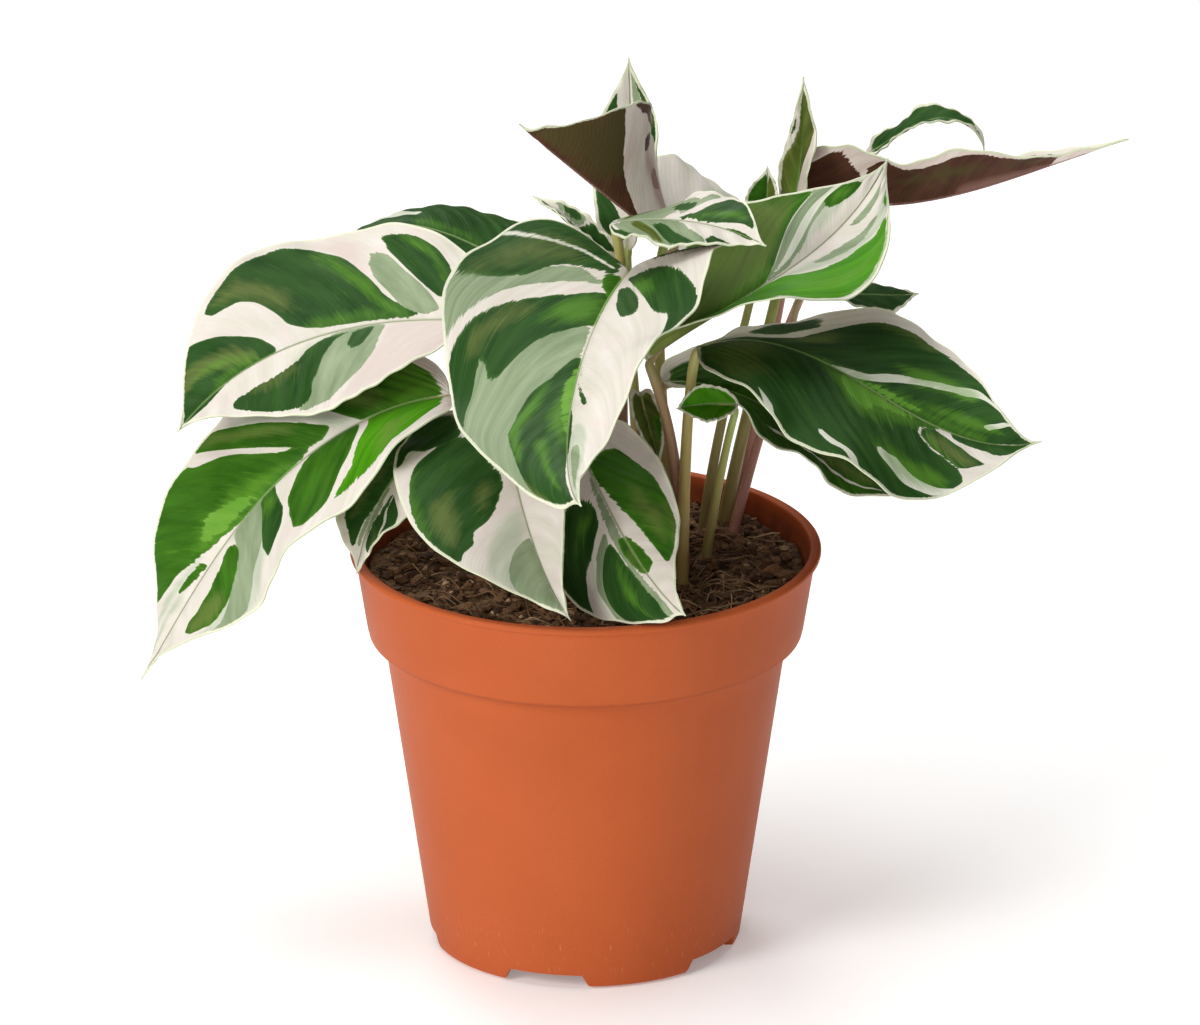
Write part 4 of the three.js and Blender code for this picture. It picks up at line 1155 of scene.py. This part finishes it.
def soil_height(x, y):
    """The ground, heaped round the stalks, without its lumps."""
    cx, cy = SOIL.heap_centre
    away = math.hypot(x - cx, y - cy) / SOIL.heap_spread
    first, second, third = SOIL.waves
    swells = math.sin(first * x + 1.3) * math.cos(second * y) + math.sin(third * (x - y))
    return SOIL.level + SOIL.heap * math.exp(-away * away) + SOIL.swell * swells


def soil_profile():
    """Half the filling's section, from the middle of its top round to the middle below."""
    p, gap = POT, POT.wall + SOIL.clearance
    shoulder = p.height - p.collar_height + p.wall + SOIL.chamfer
    low = p.floor + p.wall + SOIL.chamfer
    rim = p.collar_low + (p.collar_top - p.collar_low) * SOIL.rim_share - gap
    return [*[(rim * i / SOIL.rings, SOIL.level) for i in range(SOIL.rings + 1)],
            (rim - SOIL.chamfer, SOIL.level - SOIL.rim_drop), (p.collar_low - gap, shoulder),
            (p.body_top - gap, shoulder), (p.body_low - gap, low), (0, low)]


def soil(material):
    """The filling, with a crumbled top."""
    bm = spun(soil_profile(), SOIL.steps)
    for vert in bm.verts:
        x, y, z = vert.co
        if z > SOIL.level - 0.01:
            low, high = Vector((x, y, 3)), Vector((x, y, 9))    # two layers of the noise
            lumps = noise.turbulence(low / SOIL.lump, 3, True) * SOIL.lump_height
            grains = noise.noise(high / SOIL.grain) * SOIL.grain_height
            vert.co.z = soil_height(x, y) + lumps + grains - SOIL.sunk
    bmesh.ops.recalc_face_normals(bm, faces=bm.faces)
    finished("potting_soil", bm, [material], "soil")


def random_spot(limit):
    """A spot on the soil, clear of the wall."""
    while True:
        x, y = draw.uniform(-limit, limit), draw.uniform(-limit, limit)
        if math.hypot(x, y) < limit:
            return x, y


def crumbs(count, name, material, sizes, detail=1):
    """Small lumps of peat and bark lying on the soil."""
    bm = bmesh.new()
    layer = bm.verts.layers.float.new("shade")
    for _ in range(count):
        x, y = random_spot(BIT.limit)
        size = draw.uniform(*sizes)
        made = bmesh.ops.create_icosphere(bm, subdivisions=detail, radius=size)["verts"]
        squash = Vector([draw.uniform(*share) for share in BIT.squash])
        turn = Matrix.Rotation(draw.uniform(0, ROUND), 3, "Z")
        turn = turn @ Matrix.Rotation(draw.uniform(-BIT.tilt, BIT.tilt), 3, "X")
        shade = draw.random()
        height = soil_height(x, y) + size * draw.uniform(*BIT.lift)
        for vert in made:
            vert[layer] = shade
            rough = 1 + draw.uniform(-BIT.rough, BIT.rough)
            vert.co = turn @ (vert.co * squash) * rough + Vector((x, y, height))
    finished(name, bm, [material], "soil", smooth=False)


def fibre_path(x, y, length):
    """A wandering path that rises from the soil and falls back to it."""
    heading, bend = draw.uniform(0, ROUND), draw.uniform(-FIBRE.bend, FIBRE.bend)
    arch = draw.uniform(*FIBRE.arch) * length * FIBRE.arch_share
    path = []
    for i in range(FIBRE.steps + 1):
        ground = soil_height(x, y) + FIBRE.clear
        path.append(Vector((x, y, ground + arch * math.sin(math.pi * (i / FIBRE.steps)) ** 2)))
        heading += bend + draw.uniform(-FIBRE.wander, FIBRE.wander)
        x += math.cos(heading) * length / FIBRE.steps
        y += math.sin(heading) * length / FIBRE.steps
    return [place for place in path if math.hypot(place.x, place.y) < FIBRE.edge]


def fibres(count, name, material, lengths, radii, centre=None):
    """Plant fibres and roots in the soil, each a thin tube of few faces."""
    bm = bmesh.new()
    layer = bm.verts.layers.float.new("shade")
    for _ in range(count):
        x, y = random_spot(FIBRE.limit)
        if centre:
            x, y = [middle + draw.gauss(0, away) for middle, away in zip(centre, FIBRE.spread)]
        length, radius = draw.uniform(*lengths), draw.uniform(*radii)
        path = fibre_path(x, y, length)
        if len(path) < 3:          # it ran out over the wall
            continue
        shade = draw.random()
        ring = bmesh.ops.create_circle(bm, segments=FIBRE.sides, radius=radius)["verts"]
        edges = list(dict.fromkeys(edge for vert in ring for edge in vert.link_edges))
        facing = UP.rotation_difference(path[1] - path[0]).to_matrix()
        for vert in ring:
            vert.co = path[0] + facing @ vert.co
            vert[layer] = shade
        bmesh.ops.contextual_create(bm, geom=edges)
        for before, after in zip(path, path[1:]):
            ring, edges = drawn_out(bm, edges)
            bmesh.ops.translate(bm, verts=ring, vec=after - before)
            for vert in ring:
                vert[layer] = shade
        bmesh.ops.contextual_create(bm, geom=edges)
    bmesh.ops.recalc_face_normals(bm, faces=bm.faces)
    finished(name, bm, [material], "soil")


# ---- the plant

upper, rim = leaf_upper(), leaf_rim()
undersides = {kind: leaf_under("leaf_under_" + kind, *shades)
              for kind, shades in UNDERSIDES.items()}
stalk_materials = {kind: stalk_finish("stalk_" + kind, *shades)
                   for kind, shades in STALK_SHADES.items()}
variegations = read_variegation()
for leaf in read_leaves():
    blade(leaf, [upper, undersides[leaf.below], rim], *variegations[leaf.name])
    stalk(leaf, stalk_materials[leaf.colour])

pot(pot_plastic())
soil(potting_soil())
draw = random.Random(7)
dark_bits = soil_bits("peat_crumbs", "#926d4b", "#3d2717")
pale_bits = soil_bits("bark_and_fibre", "#d2b48c", "#8a694c")
crumbs(900, "peat_lumps", dark_bits, (0.5, 1.7))
crumbs(170, "bark_chips", pale_bits, (0.4, 1.2))
fibres(260, "dark_fibres", dark_bits, (5, 16), (0.12, 0.3))
fibres(120, "pale_fibres", pale_bits, (5, 15), (0.1, 0.24))
fibres(45, "pale_fibres_front", pale_bits, (6, 18), (0.12, 0.28), centre=(33, -22))
crumbs(130, "peat_clods", dark_bits, (1.3, 2.6), detail=2)

# ---- floor, light, camera

LIGHTS = dict(                     # place in metres, size, power, colour
    key=((-1.15, -1.1, 1.0), 0.8, 17, (1, 0.985, 0.96)),
    fill=((-0.3, -1.7, 0.55), 1.1, 6.5, (1, 0.995, 0.98)),
    top=((-0.25, -0.1, 1.7), 1.2, 15.5, WHITE),
    behind=((-0.5, 1.3, 1.25), 1.0, 10, (1, 0.99, 0.97)),
    right=((1.0, 0.9, 1.9), 1.0, 7, WHITE))
LIT_PLACE = Vector((0, 0, 0.12))
WORLD_LIGHT = 0.06
CAMERA = Facts(distance=4.0, elevation=20.8, aim=(0.003687, 0, 0.11484), lens=471.96, sensor=36)
FLOOR_HALF = 3                     # metres


def floor():
    """The plain white studio floor."""
    bm = bmesh.new()
    bmesh.ops.create_grid(bm, x_segments=2, y_segments=2, size=FLOOR_HALF / MM)
    finished("studio_floor", bm, [floor_paint()], smooth=False)


def soft_light(name, place, size, power, colour):
    """A round area light aimed at the plant."""
    lamp = bpy.data.lights.new(name, "AREA")
    lamp.shape, lamp.size, lamp.energy, lamp.color = "DISK", size, power, colour
    made = linked(name, lamp)
    made.location = place
    made.rotation_euler = (LIT_PLACE - Vector(place)).to_track_quat("-Z", "Y").to_euler()


def camera():
    """A long lens a little above the pot's rim, as in the photograph."""
    elevation = math.radians(CAMERA.elevation)
    seen = bpy.data.cameras.new("camera")
    seen.sensor_width, seen.lens, seen.sensor_fit = CAMERA.sensor, CAMERA.lens, "HORIZONTAL"
    made = linked("camera", seen)
    back = Vector((0, -math.cos(elevation), math.sin(elevation)))
    made.location = Vector(CAMERA.aim) + AXIS + back * CAMERA.distance
    made.rotation_euler = (math.radians(90) - elevation, 0, 0)
    bpy.context.scene.camera = made


floor()
for name, facts in LIGHTS.items():
    soft_light(name, *facts)
world = bpy.data.worlds.new("studio")
world.use_nodes = True
sky = world.node_tree.nodes["Background"].inputs
sky["Color"].default_value, sky["Strength"].default_value = (*WHITE, 1), WORLD_LIGHT
bpy.context.scene.world = world
bpy.context.scene.view_settings.view_transform = "Standard"
camera()
